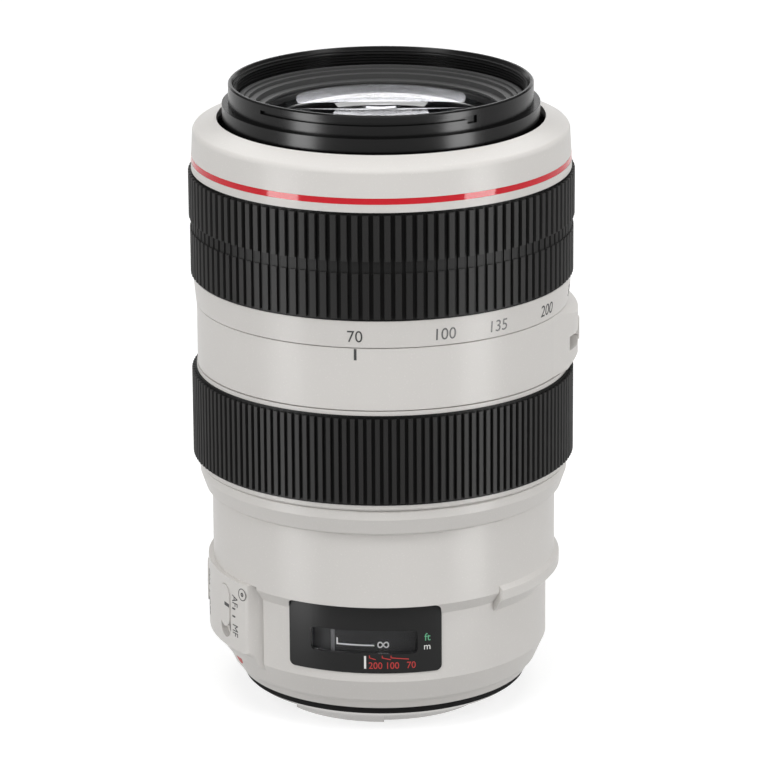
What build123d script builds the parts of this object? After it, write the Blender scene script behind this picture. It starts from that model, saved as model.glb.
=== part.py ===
from build123d import *
from math import cos, degrees, hypot, radians, sin, sqrt
import os

os.makedirs("parts", exist_ok=True)

# A telephoto zoom lens for an interchangeable-lens camera, standing on its mount.
# Millimetres. The origin is the centre of the mount's flange face and +Z runs to the front.
# The top of the lens, with its distance window, faces -Y. Places round the barrel are
# given in degrees from the top towards +X.

# Clearances
overrun = 1.0
seat_play = 0.02
slide_play = 0.08
run_play = 0.15
ring_play = 0.3
seam = 0.25

# Bayonet mount and what is fixed round it
throat_radius = 22.5
tail_wall = 2.3
tail_depth = 3.57
lug_reach = 1.4
lug_thick = 1.6
lug_arc_angle = 52.0
lug_count = 3
lug_angle = 75.0
flange_radius = 31.4
flange_thick = 2.2
relief_width = 0.6
relief_depth = 0.5
screw_circle_radius = 29.3
screw_count = 4
screw_angle = 20.0
screw_head = 1.4
screw_shank = 0.8
screw_length = 4.2
screw_sink = 0.1
gasket_wall = 1.7
gasket_low = 1.0
cover_low = 2.8
cover_height = 1.8
cover_lip = 0.8
cone_share = 0.247
cone_bevel = 0.9
block_gap = 0.8
block_low = 3.2
block_high = 3.0
block_arc_angle = 76.0
pin_count = 9
pin_step_angle = 7.6
pin_radius = 0.55
pin_proud = 0.25
pin_length = 2.0

# Rear barrel, from the cover ring up
cone_height = 6.1
body_height = 15.98
step_height = 2.84
collar_height = 17.41
flare_step = 1.51
flare_rise = 0.94
flare_height = 4.51
rim_height = 2.41
collar_inset = 2.95
body_inset = 2.0
rim_inset = 0.2
rear_wall = 1.6
web_thick = 2.0
web_inner = 29.0
rib_proud = 1.12
rib_drop = 2.2
rib_slope = 3.5
rib_rise = 0.75
rib_fade = 0.9
rib_start_angle = 48.7
pocket_depth = 0.95

# Distance window
bezel_proud = 0.2
bezel_half_angle = 27.4
bezel_rise = 2.2
bezel_height = 16.52
bezel_corner = 1.3
window_half_angle = 18.75
window_rise = 4.66
window_height = 5.6
window_corner = 1.0
window_margin = 0.5
window_thick = 0.8

# Switch panel and its sliding switches
panel_proud = 3.2
panel_right_angle = -39.85
panel_left_angle = -127.0
panel_lean_angle = 2.0
panel_ease_angle = 3.35
panel_drop = 1.4
panel_bend = 3.9
panel_knee = 2.76
panel_knee_drop = 1.55
panel_foot = 0.8
panel_rise = 0.68
panel_corner = 1.2
switch_angles = (-56.0, -83.0, -110.0)
switch_names = ("focus_mode_switch", "stabilizer_switch", "stabilizer_mode_switch")
switch_half_width = 2.6
switch_drop = 2.0
switch_height = 13.1
switch_depth = 1.6
switch_travel = 2.6
switch_proud = 0.25
stem_half_width = 0.9
stem_height = 2.4

# Outer rings above the rear barrel
focus_height = 23.68
index_height = 14.78
index_radius = 43.1
index_wall = 2.7
core_inset = 0.1
focus_lip_proud = 0.5
focus_lip_height = 1.37
focus_rim_proud = 0.2
focus_rim_height = 1.16
band_height = 6.28
band_proud = 0.14
band_spread = 0.61
zoom_grip_height = 25.13
zoom_rim_height = 1.86
zoom_rim_proud = 0.8
accent_height = 1.41
accent_proud = 0.72
accent_depth = 1.6
nose_height = 6.21
nose_proud = 0.69
nose_taper = 0.34
nose_round = 1.2
lip_height = 2.23
lip_radius = 37.9
lip_thick = 1.6
nose_wall_drop = 1.8

# Rubber grips
grip_base = 0.7
zoom_ribs = 114
zoom_rib_height = 0.9
zoom_low_inset = 0.25
zoom_notch_inset = 0.55
notch_rise = 11.21
notch_height = 2.8
focus_ribs = 148
focus_rib_height = 0.75
rib_end = 0.55
flank_share = 0.1
crown_share = 0.5

# Lock panel and lever, on the index barrel
lock_start_angle = 73.0
lock_rise_angle = 93.0
lock_fall_angle = 115.0
lock_end_angle = 135.0
lock_proud = 2.4
lock_floor_wall = 0.8
lock_top_bevel = 2.3
lock_foot_bevel = 1.9
lock_foot_proud = 1.1
lock_slot_start_angle = 83.6
lock_slot_end_angle = 111.0
lock_slot_rise = 5.87
lock_slot_half = 1.65
lock_skin = 1.9
lock_hollow_half = 4.2
lock_hollow_angle = 4.0
lever_plate_thick = 1.0
lever_plate_half = 3.4
lever_width = 8.5
lever_cap_gap = 0.12
lever_cap_thick = 0.4
lever_cap_half = 2.6

# Nested barrels and the zoom movement
guide_wall = 1.0
cam_wall = 1.0
guide_set_back = 4.3
guide_seat_depth = 3.85
zoom_travel = 55.0
zoom_turn_angle = 92.0
variator_travel = 12.0
variator_gap = 16.0
cam_count = 3
roller_radius = 2.4
roller_shank = 1.3
roller_grip = 1.6
slot_end_wall = 1.6
front_roller_angle = 30.0
variator_roller_angle = 90.0
key_angle = 256.0
key_rise = 3.7
key_radius = 2.0
key_grip = 1.4

# Front barrel and its optics
tube_inset = 1.9
tube_wall = 1.1
tube_flange = 5.6
hood_proud = 0.6
hood_gap = 0.17
hood_height = 3.1
rim_step = 1.5
rim_height_front = 4.98
rim_wall = 1.6
rim_bevel = 0.35
rim_cone = 0.8
thread_rise = 1.05
thread_height = 2.55
ring_foot = 4.6
hood_groove_depth = 0.7
hood_groove_drop = 1.58
hood_groove_height = 0.86
hood_groove_angle = -43.3
hood_groove_arc_angle = 88.4
hood_groove_count = 2
hood_notch_height = 1.75
hood_notch_arc_angle = 4.3
cell_wall = 4.18
cell_floor = 1.5
cell_rise = 1.05
front_glass_drop = 4.2
front_glass_edge = 4.6
front_glass_sag = 3.95
front_glass_back = 1.6
glass_gap = 5.0
second_glass_inset = 2.4
second_glass_edge = 6.5
second_glass_sag = 2.6
second_glass_back = -1.8
retainer_inset = 0.5
retainer_width = 5.38
retainer_drop = 0.15
retainer_fall = 2.7
retainer_step_shares = ((0.78, 0.2), (0.58, 0.48), (0.28, 0.93))

# Variator
variator_height = 9.0
variator_wall = 2.3
variator_web = 2.4
variator_glass_radius = 17.5
variator_glass_edge = 5.0
variator_glass_sag = -1.7
variator_cell_wall = 1.8

# Inner sleeve and the fixed optics at the rear
sleeve_inner = 26.0
sleeve_wall = 1.5
sleeve_top_gap = 1.0
sleeve_foot_inset = 0.5
shelf_rise = 23.3
shelf_thick = 1.5
board_thick = 1.2
board_shares = (0.31, 0.93)
rear_cell_rise = 2.4
rear_cell_thick = 1.6
rear_cell_top = 3.8
rear_cell_foot = 3.6
rear_cell_wall = 1.7
rear_glass_radius = 15.4
rear_glass_edge = 4.2
rear_glass_sag = 1.6

# Image stabiliser: rods carry a frame across X, and rods on the frame carry the lens across Y
shake_gap = 2.0
shake_base_thick = 1.6
shake_base_inner = 13.0
shake_rod = 0.5
shake_rod_spread = 17.5
shake_rod_half = 14.6
shake_post = 2.0
guide_ring_inner = 14.5
guide_ring_outer = 20.4
guide_ring_gap = 0.6
guide_ring_thick = 1.8
cross_rod_spread = 17.0
cross_rod_half = 8.4
holder_outer = 13.6
holder_gap = 0.4
holder_thick = 3.2
holder_wall = 1.6
holder_seat = 0.6
holder_arm_half = 4.6
holder_arm_thick = 1.8
holder_glass_edge = 2.3
holder_glass_sag = -0.7

# Iris diaphragm
blade_count = 8
blade_inner = 12.2
blade_width = 4.8
blade_start_angle = -8.0
blade_arc_angle = 122.0
blade_thick = 0.15
blade_step = 0.25
blade_turn_angle = 34.0
iris_gap = 3.2
iris_pivot_inset = 1.0
iris_pin_radius = 0.5
iris_ear_wall = 0.7
iris_drive_angle = -12.0
iris_ring_turn_angle = 20.0
iris_base_thick = 1.0
iris_base_inset = 0.6
iris_rim_width = 3.2
iris_ring_thick = 1.0
iris_ring_gap = 0.1
iris_motor_radius = 2.6
iris_motor_length = 5.4
iris_motor_angle = 60.0
iris_motor_plate = 1.0
iris_motor_arc_angle = 40.0
iris_motor_width = 6.2

# Ring motor, focus drive and focus group
drum_gap_share = 0.12
drum_wall = 0.8
drum_drop = 4.5
stator_shares = (0.26, 0.66)
stator_thick = 5.4
rotor_thick = 2.8
rotor_gap = 0.05
drive_wall = 1.7
drive_flange = 1.5
drive_top_gap = 1.5
focus_turn_angle = 140.0
focus_drive_share = 0.5
focus_travel = 4.0
focus_gap = 1.6
focus_cell_height = 7.0
focus_pin_share = 0.6
focus_pin_radius = 1.2
focus_pin_angle = 45.0
focus_skirt = 1.6
focus_web = 1.8
focus_cell_wall = 1.6
focus_glass_radius = 15.0
focus_glass_edge = 3.0
focus_glass_sag = 1.3

# Heights of the outer rings
cone_low = cover_low + cover_height
body_low = cone_low + cone_height
body_high = body_low + body_height
collar_low = body_high + step_height
collar_high = collar_low + collar_height
rim_low = collar_high + flare_height
rear_high = rim_low + rim_height
focus_low = rear_high
index_low = focus_low + focus_height
zoom_low = index_low + index_height
band_high = zoom_low + band_height
zoom_rim_low = band_high + zoom_grip_height
accent_low = zoom_rim_low + zoom_rim_height
accent_high = accent_low + accent_height
nose_high = accent_high + nose_height
zoom_high = nose_high + lip_height

# Radii of the nested barrels, from the outside in
core_radius = index_radius - core_inset
guide_outer = index_radius - index_wall
guide_inner = guide_outer - guide_wall
cam_outer = guide_inner - run_play
cam_inner = cam_outer - cam_wall
slide_radius = cam_inner - run_play
turning_inner = guide_outer + ring_play
guide_low = rear_high - guide_seat_depth
guide_high = zoom_high - guide_set_back
cam_low = guide_low + ring_play
cam_high = guide_high - ring_play

# Rollers and key that join the nested barrels
slot_half = roller_radius + slide_play
roller_reach = guide_outer - slide_play
roller_foot = slide_radius - roller_grip
front_roller_height = guide_high - slot_end_wall - slot_half - zoom_travel
variator_roller_height = front_roller_height - variator_gap
key_height = zoom_low + key_rise

# Radii and heights of the rear barrel's insides
tail_radius = throat_radius + tail_wall
lug_radius = tail_radius + lug_reach
relief_radius = lug_radius + relief_width
gasket_radius = flange_radius + gasket_wall
cover_radius = gasket_radius + cover_lip
collar_radius = index_radius - collar_inset
body_radius = collar_radius - body_inset
cone_radius = cover_radius + cone_share * (body_radius - cover_radius)
rim_radius = index_radius - rim_inset
body_inner = body_radius - rear_wall
collar_inner = collar_radius - rear_wall
pocket_radius = body_radius - pocket_depth
sleeve_outer = sleeve_inner + sleeve_wall
sleeve_foot_radius = flange_radius - sleeve_foot_inset
annulus = body_inner - sleeve_outer
board_room = cone_radius - rear_wall - sleeve_outer
sleeve_high = guide_low - sleeve_top_gap
shelf_low = flange_thick + shelf_rise
shelf_high = shelf_low + shelf_thick
drum_radius = body_inner - drum_gap_share * annulus
stator_inner = sleeve_outer + stator_shares[0] * annulus
stator_outer = sleeve_outer + stator_shares[1] * annulus
bezel_low = body_low + bezel_rise
bezel_high = bezel_low + bezel_height
bezel_radius = body_radius + bezel_proud
window_low = bezel_low + window_rise
window_high = window_low + window_height
panel_radius = body_radius + panel_proud
panel_low = body_low - panel_drop
panel_high = collar_low + panel_rise
switch_high = panel_high - switch_drop
switch_low = switch_high - switch_height
inner_step = panel_high + rear_wall


def bearing(from_top):
    """The polar angle of a place given in degrees from the top of the lens."""
    return from_top - 90


def spot(radius, angle):
    """The point at that radius and polar angle."""
    return (radius * cos(radians(angle)), radius * sin(radians(angle)))


def turned(outline, start=0, arc=360, mode=Mode.ADD):
    """A section of (radius, height) points turned about the optical axis."""
    across = Plane((0, 0, 0), x_dir=(*spot(1, start), 0), z_dir=(*spot(1, start - 90), 0))
    with BuildSketch(across) as section:
        with BuildLine():
            Polyline(*outline, close=True)
        make_face()
    revolve(section.sketch, axis=Axis.Z, revolution_arc=arc, mode=mode)


def block_ring(inner, outer, low, high, start=0, arc=360, mode=Mode.ADD):
    """A ring, or a sector of one, of rectangular section."""
    turned([(inner, low), (outer, low), (outer, high), (inner, high)], start, arc, mode)


def outward(angle, radius, height):
    """A plane square to the radius at that angle, with its Y up and its Z pointing out."""
    return Plane((*spot(radius, angle), height), x_dir=(*spot(1, angle + 90), 0), z_dir=(*spot(1, angle), 0))


def radial_peg(angle, height, radius, inner, outer, mode=Mode.ADD):
    """A round bar, or hole, that points out from the axis."""
    with BuildSketch(outward(angle, inner, height)) as end:
        Circle(radius)
    extrude(end.sketch, amount=outer - inner, mode=mode)


def straight_slot(angle, low, high, half_width, inner, outer, mode=Mode.SUBTRACT):
    """A slot along the barrel through its wall, between two end centres."""
    with BuildSketch(outward(angle, inner, (low + high) / 2)) as end:
        SlotCenterToCenter(high - low, 2 * half_width, rotation=90)
    extrude(end.sketch, amount=outer - inner, mode=mode)


def helical_bar(turn, low, rise, half_width, inner, outer):
    """A bar that starts on the X axis and climbs by rise while it turns, to cut cam slots with."""
    with BuildLine(Plane.XY.offset(low)) as path:
        Helix(pitch=rise * 360 / turn, height=rise, radius=(inner + outer) / 2)
    with BuildSketch(Plane(path.line @ 0, x_dir=(1, 0, 0), z_dir=path.line % 0)) as end:
        Rectangle(outer - inner, 2 * half_width)
    sweep(end.sketch, path=path.line, is_frenet=True)


def cut_cam_slots(bar, start, turn, low, rise, half_width, inner, outer):
    """Cuts that bar, and a round end at each end of it, at every cam place round the barrel."""
    for cam in range(cam_count):
        place = start + cam * 360 / cam_count
        add(bar.part.rotate(Axis.Z, place), mode=Mode.SUBTRACT)
        radial_peg(place, low, half_width, inner, outer, Mode.SUBTRACT)
        radial_peg(place + turn, low + rise, half_width, inner, outer, Mode.SUBTRACT)


def glass(radius, low, high, low_sag, high_sag):
    """A lens element with a round rim, whose faces bulge past the rim by their sags."""
    with BuildSketch(Plane.XZ) as section:
        with BuildLine():
            ThreePointArc((-radius, low), (0, low - low_sag), (radius, low))
            Line((radius, low), (radius, high))
            ThreePointArc((radius, high), (0, high + high_sag), (-radius, high))
            Line((-radius, high), (-radius, low))
        make_face()
        with Locations((0, low)):
            Rectangle(radius, 2 * radius, align=(Align.MIN, Align.CENTER), mode=Mode.INTERSECT)
    revolve(section.sketch, axis=Axis.Z)


def face_height(radius, sag, place):
    """How far a lens face with that rim radius and sag stands above its rim at another radius."""
    sphere = (radius ** 2 + sag ** 2) / (2 * sag)
    return sqrt(sphere ** 2 - place ** 2) - (sphere - sag)


def ribs(count, inner, valley, crown, low, high):
    """Lengthwise grip ribs with sloping flanks and flat crowns, on a thin ring."""
    corners = ((valley, 0), (crown, flank_share), (crown, flank_share + crown_share),
               (valley, 2 * flank_share + crown_share))
    points = []
    for rib in range(count):
        for radius, share in corners:
            points.append(spot(radius, (rib + share) * 360 / count))
    with BuildSketch(Plane.XY.offset(low)) as plan:
        with BuildLine():
            Polyline(*points, close=True)
        make_face()
        Circle(inner, mode=Mode.SUBTRACT)
    extrude(plan.sketch, amount=high - low)


def rounded_patch(angle, half_angle, radius, low, high, corner, inner, outer, mode):
    """A round-cornered rectangle projected through a curved wall."""
    width = 2 * radius * sin(radians(half_angle))
    with BuildSketch(outward(angle, inner, (low + high) / 2)) as face:
        RectangleRounded(width, high - low, corner)
    extrude(face.sketch, amount=outer - inner, mode=mode)


def rollers(first_angle, height):
    """Cam rollers on shanks that screw into the carrier's wall."""
    for cam in range(cam_count):
        place = first_angle + cam * 360 / cam_count
        radial_peg(place, height, roller_radius, slide_radius + slide_play, roller_reach)
        radial_peg(place, height, roller_shank, roller_foot, roller_reach)


def roller_holes(first_angle, height):
    """Holes in the carrier's wall for the rollers' shanks."""
    for cam in range(cam_count):
        radial_peg(first_angle + cam * 360 / cam_count, height, roller_shank + seat_play,
                   roller_foot - overrun, slide_radius + overrun, Mode.SUBTRACT)


def save(piece, name):
    """Labels the finished piece and writes it."""
    piece.part.label = name
    export_step(piece.part, f"parts/{name}.step")


# Bayonet mount: the tail and its lugs enter the camera, and the flange face meets it
with BuildPart() as bayonet_mount:
    turned([
        (throat_radius, -tail_depth),
        (tail_radius, -tail_depth),
        (tail_radius, relief_depth),
        (relief_radius, relief_depth),
        (relief_radius, 0),
        (flange_radius, 0),
        (flange_radius, flange_thick),
        (throat_radius, flange_thick),
    ])
    for lug in range(lug_count):
        lug_start = bearing(lug_angle) + lug * 360 / lug_count
        block_ring(tail_radius - seat_play, lug_radius, -tail_depth, lug_thick - tail_depth, lug_start, lug_arc_angle)
    with Locations((0, 0, -overrun)):
        with PolarLocations(screw_circle_radius, screw_count, start_angle=screw_angle):
            Cylinder(screw_shank + seat_play, flange_thick + 2 * overrun,
                     align=(Align.CENTER, Align.CENTER, Align.MIN), mode=Mode.SUBTRACT)
    with PolarLocations(screw_circle_radius, screw_count, start_angle=screw_angle):
        Cone(screw_head + screw_sink, screw_shank, screw_head + screw_sink - screw_shank,
             align=(Align.CENTER, Align.CENTER, Align.MIN), mode=Mode.SUBTRACT)
save(bayonet_mount, "bayonet_mount")

with BuildPart() as mount_screws:
    with Locations((0, 0, screw_sink)):
        with PolarLocations(screw_circle_radius, screw_count, start_angle=screw_angle):
            Cone(screw_head - seat_play, screw_shank - seat_play, screw_head - screw_shank,
                 align=(Align.CENTER, Align.CENTER, Align.MIN))
            Cylinder(screw_shank - seat_play, screw_length, align=(Align.CENTER, Align.CENTER, Align.MIN))
save(mount_screws, "mount_screws")

with BuildPart() as mount_gasket:
    block_ring(flange_radius + seat_play, gasket_radius, gasket_low, cover_low - seat_play)
    chamfer(mount_gasket.edges().group_by(Axis.Z)[0].sort_by(SortBy.LENGTH)[-1], length=rim_bevel)
save(mount_gasket, "mount_gasket")

# Electrical contacts, inside the throat on the underside of the lens
block_inner = rear_glass_radius + rear_cell_wall + block_gap
pin_circle = (block_inner + throat_radius) / 2
with BuildPart() as contact_block:
    block_ring(block_inner, throat_radius - seat_play, -block_low, block_high,
               bearing(180) - block_arc_angle / 2, block_arc_angle)
    for pin in range(pin_count):
        place = bearing(180) + (pin - (pin_count - 1) / 2) * pin_step_angle
        with BuildSketch(Plane.XY.offset(-block_low)) as hole:
            with Locations(spot(pin_circle, place)):
                Circle(pin_radius + seat_play)
        extrude(hole.sketch, amount=pin_length - pin_proud + seat_play, mode=Mode.SUBTRACT)
save(contact_block, "contact_block")

with BuildPart() as contact_pins:
    for pin in range(pin_count):
        place = bearing(180) + (pin - (pin_count - 1) / 2) * pin_step_angle
        with BuildSketch(Plane.XY.offset(-block_low - pin_proud)) as end:
            with Locations(spot(pin_circle, place)):
                Circle(pin_radius)
        extrude(end.sketch, amount=pin_length)
save(contact_pins, "contact_pins")

# Inner sleeve: stands on the mount and carries everything fixed inside the rear half
shelf_radius = stator_outer + run_play
focus_cell_low = sleeve_high - focus_travel - focus_gap - focus_cell_height
focus_pin_height = focus_cell_low + focus_pin_share * focus_cell_height
focus_slot_half = focus_pin_radius + slide_play
with BuildPart() as inner_sleeve:
    turned([
        (sleeve_inner, flange_thick + seat_play),
        (sleeve_foot_radius, flange_thick + seat_play),
        (sleeve_foot_radius, cone_low - seat_play),
        (sleeve_outer, cone_low - seat_play),
        (sleeve_outer, shelf_low),
        (shelf_radius, shelf_low),
        (shelf_radius, shelf_high),
        (sleeve_outer, shelf_high),
        (sleeve_outer, sleeve_high),
        (sleeve_inner, sleeve_high),
    ])
    with PolarLocations(screw_circle_radius, screw_count, start_angle=screw_angle):
        Cylinder(screw_shank, screw_length + screw_sink + seat_play,
                 align=(Align.CENTER, Align.CENTER, Align.MIN), mode=Mode.SUBTRACT)
    for pin in range(cam_count):
        straight_slot(focus_pin_angle + pin * 360 / cam_count, focus_pin_height, focus_pin_height + focus_travel,
                      focus_slot_half, sleeve_inner - overrun, sleeve_outer + overrun)
save(inner_sleeve, "inner_sleeve")

# Rear cover ring, between the mount and the barrel
with BuildPart() as rear_cover:
    turned([
        (sleeve_foot_radius + seat_play, cover_low),
        (cover_radius, cover_low),
        (cone_radius, cone_low - seat_play),
        (sleeve_foot_radius + seat_play, cone_low - seat_play),
    ])
save(rear_cover, "rear_cover")

# The pocket that the window's bezel is let into
with BuildPart() as bezel_pocket:
    block_ring(pocket_radius, collar_radius + overrun, bezel_low - overrun, bezel_high + overrun,
               bearing(-2 * bezel_half_angle), 4 * bezel_half_angle)
    rounded_patch(bearing(0), bezel_half_angle, bezel_radius, bezel_low, bezel_high, bezel_corner,
                  0, collar_radius + overrun, Mode.INTERSECT)

# Rear barrel: cone, body, collar seat and the flare to the focus ring
with BuildPart() as rear_barrel:
    turned([
        (cone_radius, cone_low),
        (cone_radius + cone_bevel, cone_low + cone_bevel),
        (body_radius, body_low),
        (body_radius, body_high),
        (collar_radius, collar_low),
        (collar_radius, collar_high),
        (collar_radius + flare_step, collar_high + flare_rise),
        (rim_radius, rim_low),
        (rim_radius, rear_high - seam),
        (guide_outer + seat_play, rear_high - seam),
        (guide_outer + seat_play, guide_low),
        (collar_inner, guide_low),
        (collar_inner, inner_step + rear_wall),
        (body_inner, inner_step),
        (body_inner, body_low + rear_wall),
        (cone_radius - rear_wall, cone_low + web_thick),
        (web_inner, cone_low + web_thick),
        (web_inner, cone_low),
    ])
    fillet(rear_barrel.edges().filter_by(GeomType.CIRCLE).filter_by(lambda edge: edge.radius > rim_radius - seat_play),
           radius=rim_bevel)
    turned(
        [
            (body_radius - seat_play, body_high - rib_drop),
            (collar_radius + rib_proud, body_high - rib_drop + rib_slope),
            (collar_radius + rib_proud, collar_low + rib_rise),
            (collar_radius - seat_play, collar_low + rib_rise + rib_fade),
            (collar_radius - seat_play, collar_low),
            (body_radius - seat_play, body_high),
        ],
        bearing(rib_start_angle),
        360 + panel_left_angle - rib_start_angle,
    )
    add(bezel_pocket.part, mode=Mode.SUBTRACT)
    block_ring(pocket_radius, rim_radius, panel_low, panel_high, bearing(panel_left_angle),
               panel_right_angle - panel_left_angle, Mode.SUBTRACT)
    rounded_patch(bearing(0), window_half_angle, bezel_radius, window_low - window_margin, window_high + window_margin,
                  window_corner, 0, collar_radius + overrun, Mode.SUBTRACT)
    for place in switch_angles:
        straight_slot(bearing(place), switch_low + switch_depth, switch_high - switch_depth,
                      stem_half_width + ring_play, body_inner - overrun, collar_radius)
save(rear_barrel, "rear_barrel")

# Distance window: a curved bezel with a clear pane let into it
with BuildPart() as window_bezel:
    block_ring(pocket_radius + seat_play, bezel_radius, bezel_low - overrun, bezel_high + overrun,
               bearing(-2 * bezel_half_angle), 4 * bezel_half_angle)
    rounded_patch(bearing(0), bezel_half_angle - seat_play, bezel_radius, bezel_low + seat_play, bezel_high - seat_play,
                  bezel_corner, 0, collar_radius, Mode.INTERSECT)
    rounded_patch(bearing(0), window_half_angle, bezel_radius, window_low, window_high, window_corner,
                  0, collar_radius, Mode.SUBTRACT)
save(window_bezel, "window_bezel")

with BuildPart() as window_glass:
    block_ring(pocket_radius + seat_play, pocket_radius + window_thick, window_low - overrun, window_high + overrun,
               bearing(-bezel_half_angle), 2 * bezel_half_angle)
    rounded_patch(bearing(0), window_half_angle - seat_play, bezel_radius, window_low + seat_play,
                  window_high - seat_play, window_corner, 0, collar_radius, Mode.INTERSECT)
save(window_glass, "window_glass")

# Switch panel: a raised pod with leaning ends and a rounded foot, and an oblong well for each switch
with BuildPart() as switch_panel:
    with BuildSketch(Plane.XY.offset(panel_low)) as plan:
        with BuildLine():
            panel_arc = panel_right_angle - panel_left_angle
            CenterArc((0, 0), panel_radius, bearing(panel_left_angle + panel_lean_angle),
                      panel_arc - panel_lean_angle - panel_ease_angle)
            CenterArc((0, 0), pocket_radius + seat_play, bearing(panel_left_angle), panel_arc)
            for side, lean in ((panel_left_angle, panel_lean_angle), (panel_right_angle, -panel_ease_angle)):
                Line(spot(panel_radius, bearing(side + lean)), spot(pocket_radius + seat_play, bearing(side)))
        make_face()
    extrude(plan.sketch, amount=panel_high - panel_low - seat_play)
    turned(
        [
            (pocket_radius + panel_foot, panel_low - overrun),
            (panel_radius + overrun, panel_low - overrun),
            (panel_radius + overrun, panel_low + panel_bend),
            (panel_radius, panel_low + panel_bend),
            (panel_radius - panel_knee_drop, panel_low + panel_knee),
            (pocket_radius + panel_foot, panel_low),
        ],
        mode=Mode.SUBTRACT,
    )
    corners = switch_panel.edges().filter_by(GeomType.CIRCLE, reverse=True).filter_by(
        lambda edge: edge.center().Z < panel_high - overrun
        and hypot(edge.center().X, edge.center().Y) > pocket_radius + panel_foot)
    fillet(corners, radius=panel_corner)
    for place in switch_angles:
        straight_slot(bearing(place), switch_low + switch_half_width, switch_high - switch_half_width,
                      switch_half_width, panel_radius - switch_depth, panel_radius + overrun)
        straight_slot(bearing(place), switch_low + switch_depth, switch_high - switch_depth,
                      stem_half_width + ring_play, body_inner, panel_radius)
save(switch_panel, "switch_panel")

# Sliding switches: an oblong button that fills the upper part of its well, on a flat stem
switch_top = switch_high - switch_half_width
switch_foot = switch_low + switch_half_width + switch_travel
for place, name in zip(switch_angles, switch_names):
    with BuildPart() as switch:
        straight_slot(bearing(place), switch_foot + slide_play, switch_top - slide_play, switch_half_width - slide_play,
                      panel_radius - switch_depth + slide_play, panel_radius + switch_proud, Mode.ADD)
        stem_middle = (switch_foot + switch_top) / 2
        with BuildSketch(outward(bearing(place), pocket_radius, stem_middle)) as stem:
            Rectangle(2 * stem_half_width, stem_height)
        extrude(stem.sketch, amount=panel_radius - pocket_radius)
    save(switch, name)

# Circuit board, on the barrel's inner web
with BuildPart() as main_board:
    block_ring(sleeve_outer + board_shares[0] * board_room, sleeve_outer + board_shares[1] * board_room,
               cone_low + web_thick + seat_play, cone_low + web_thick + board_thick)
save(main_board, "main_board")

# Rear lens cell and its element
rear_cell_low = flange_thick + rear_cell_rise
rear_cell_high = rear_cell_low + rear_cell_thick + rear_cell_top
with BuildPart() as rear_cell:
    turned([
        (rear_glass_radius + rear_cell_wall, rear_cell_low - rear_cell_foot),
        (rear_glass_radius + rear_cell_wall, rear_cell_low),
        (sleeve_inner - seat_play, rear_cell_low),
        (sleeve_inner - seat_play, rear_cell_low + rear_cell_thick),
        (rear_glass_radius + rear_cell_wall, rear_cell_low + rear_cell_thick),
        (rear_glass_radius + rear_cell_wall, rear_cell_high),
        (rear_glass_radius + seat_play, rear_cell_high),
        (rear_glass_radius + seat_play, rear_cell_low - rear_cell_foot),
    ])
save(rear_cell, "rear_cell")

with BuildPart() as rear_element:
    glass(rear_glass_radius, rear_cell_low, rear_cell_low + rear_glass_edge, rear_glass_sag, -rear_glass_sag / 2)
save(rear_element, "rear_element")

# Stabiliser base: a ring in the sleeve, with posts that hold two rods along X
shake_base_low = rear_cell_high + shake_gap
shake_base_high = shake_base_low + shake_base_thick
guide_ring_low = shake_base_high + guide_ring_gap
shake_rod_height = guide_ring_low + guide_ring_thick / 2
with BuildPart() as stabilizer_base:
    block_ring(shake_base_inner, sleeve_inner - seat_play, shake_base_low, shake_base_high)
    for side in (-1, 1):
        with Locations((0, side * shake_rod_spread, shake_rod_height)):
            Cylinder(shake_rod, 2 * shake_rod_half, rotation=(0, 90, 0))
        for end in (-1, 1):
            with Locations((end * shake_rod_half, side * shake_rod_spread, shake_base_high)):
                Box(shake_post, shake_post, shake_rod_height + shake_rod + shake_rod - shake_base_high,
                    align=(Align.CENTER, Align.CENTER, Align.MIN))
save(stabilizer_base, "stabilizer_base")

# Guide frame: slides along X on those rods and holds two rods along Y
guide_ring_high = guide_ring_low + guide_ring_thick
arm_low = guide_ring_high + holder_gap
cross_rod_height = arm_low + holder_arm_thick / 2
with BuildPart() as stabilizer_guide:
    block_ring(guide_ring_inner, guide_ring_outer, guide_ring_low, guide_ring_high)
    for side in (-1, 1):
        with Locations((0, side * shake_rod_spread, shake_rod_height)):
            Cylinder(shake_rod + slide_play, 2 * guide_ring_outer, rotation=(0, 90, 0), mode=Mode.SUBTRACT)
        with Locations((side * cross_rod_spread, 0, cross_rod_height)):
            Cylinder(shake_rod, 2 * cross_rod_half, rotation=(90, 0, 0))
        for end in (-1, 1):
            with Locations((side * cross_rod_spread, end * cross_rod_half, guide_ring_high)):
                Box(shake_post, shake_post, cross_rod_height + shake_rod + shake_rod - guide_ring_high,
                    align=(Align.CENTER, Align.CENTER, Align.MIN))
save(stabilizer_guide, "stabilizer_guide")

# Lens holder: slides along Y on the frame's rods
holder_bore = holder_outer - holder_wall
with BuildPart() as stabilizer_holder:
    with Locations((0, 0, arm_low)):
        Box(2 * (cross_rod_spread + shake_rod + shake_post / 2), 2 * holder_arm_half, holder_arm_thick,
            align=(Align.CENTER, Align.CENTER, Align.MIN))
    block_ring(0, holder_outer, arm_low, arm_low + holder_thick)
    block_ring(0, holder_bore - holder_seat, arm_low - overrun, arm_low + holder_thick + overrun, mode=Mode.SUBTRACT)
    block_ring(0, holder_bore, arm_low + holder_seat, arm_low + holder_thick + overrun, mode=Mode.SUBTRACT)
    for side in (-1, 1):
        with Locations((side * cross_rod_spread, 0, cross_rod_height)):
            Cylinder(shake_rod + slide_play, 2 * cross_rod_half, rotation=(90, 0, 0), mode=Mode.SUBTRACT)
save(stabilizer_holder, "stabilizer_holder")

with BuildPart() as stabilizer_element:
    glass(holder_bore - seat_play, arm_low + holder_seat + seat_play,
          arm_low + holder_seat + seat_play + holder_glass_edge, holder_glass_sag, holder_glass_sag)
save(stabilizer_element, "stabilizer_element")

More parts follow.
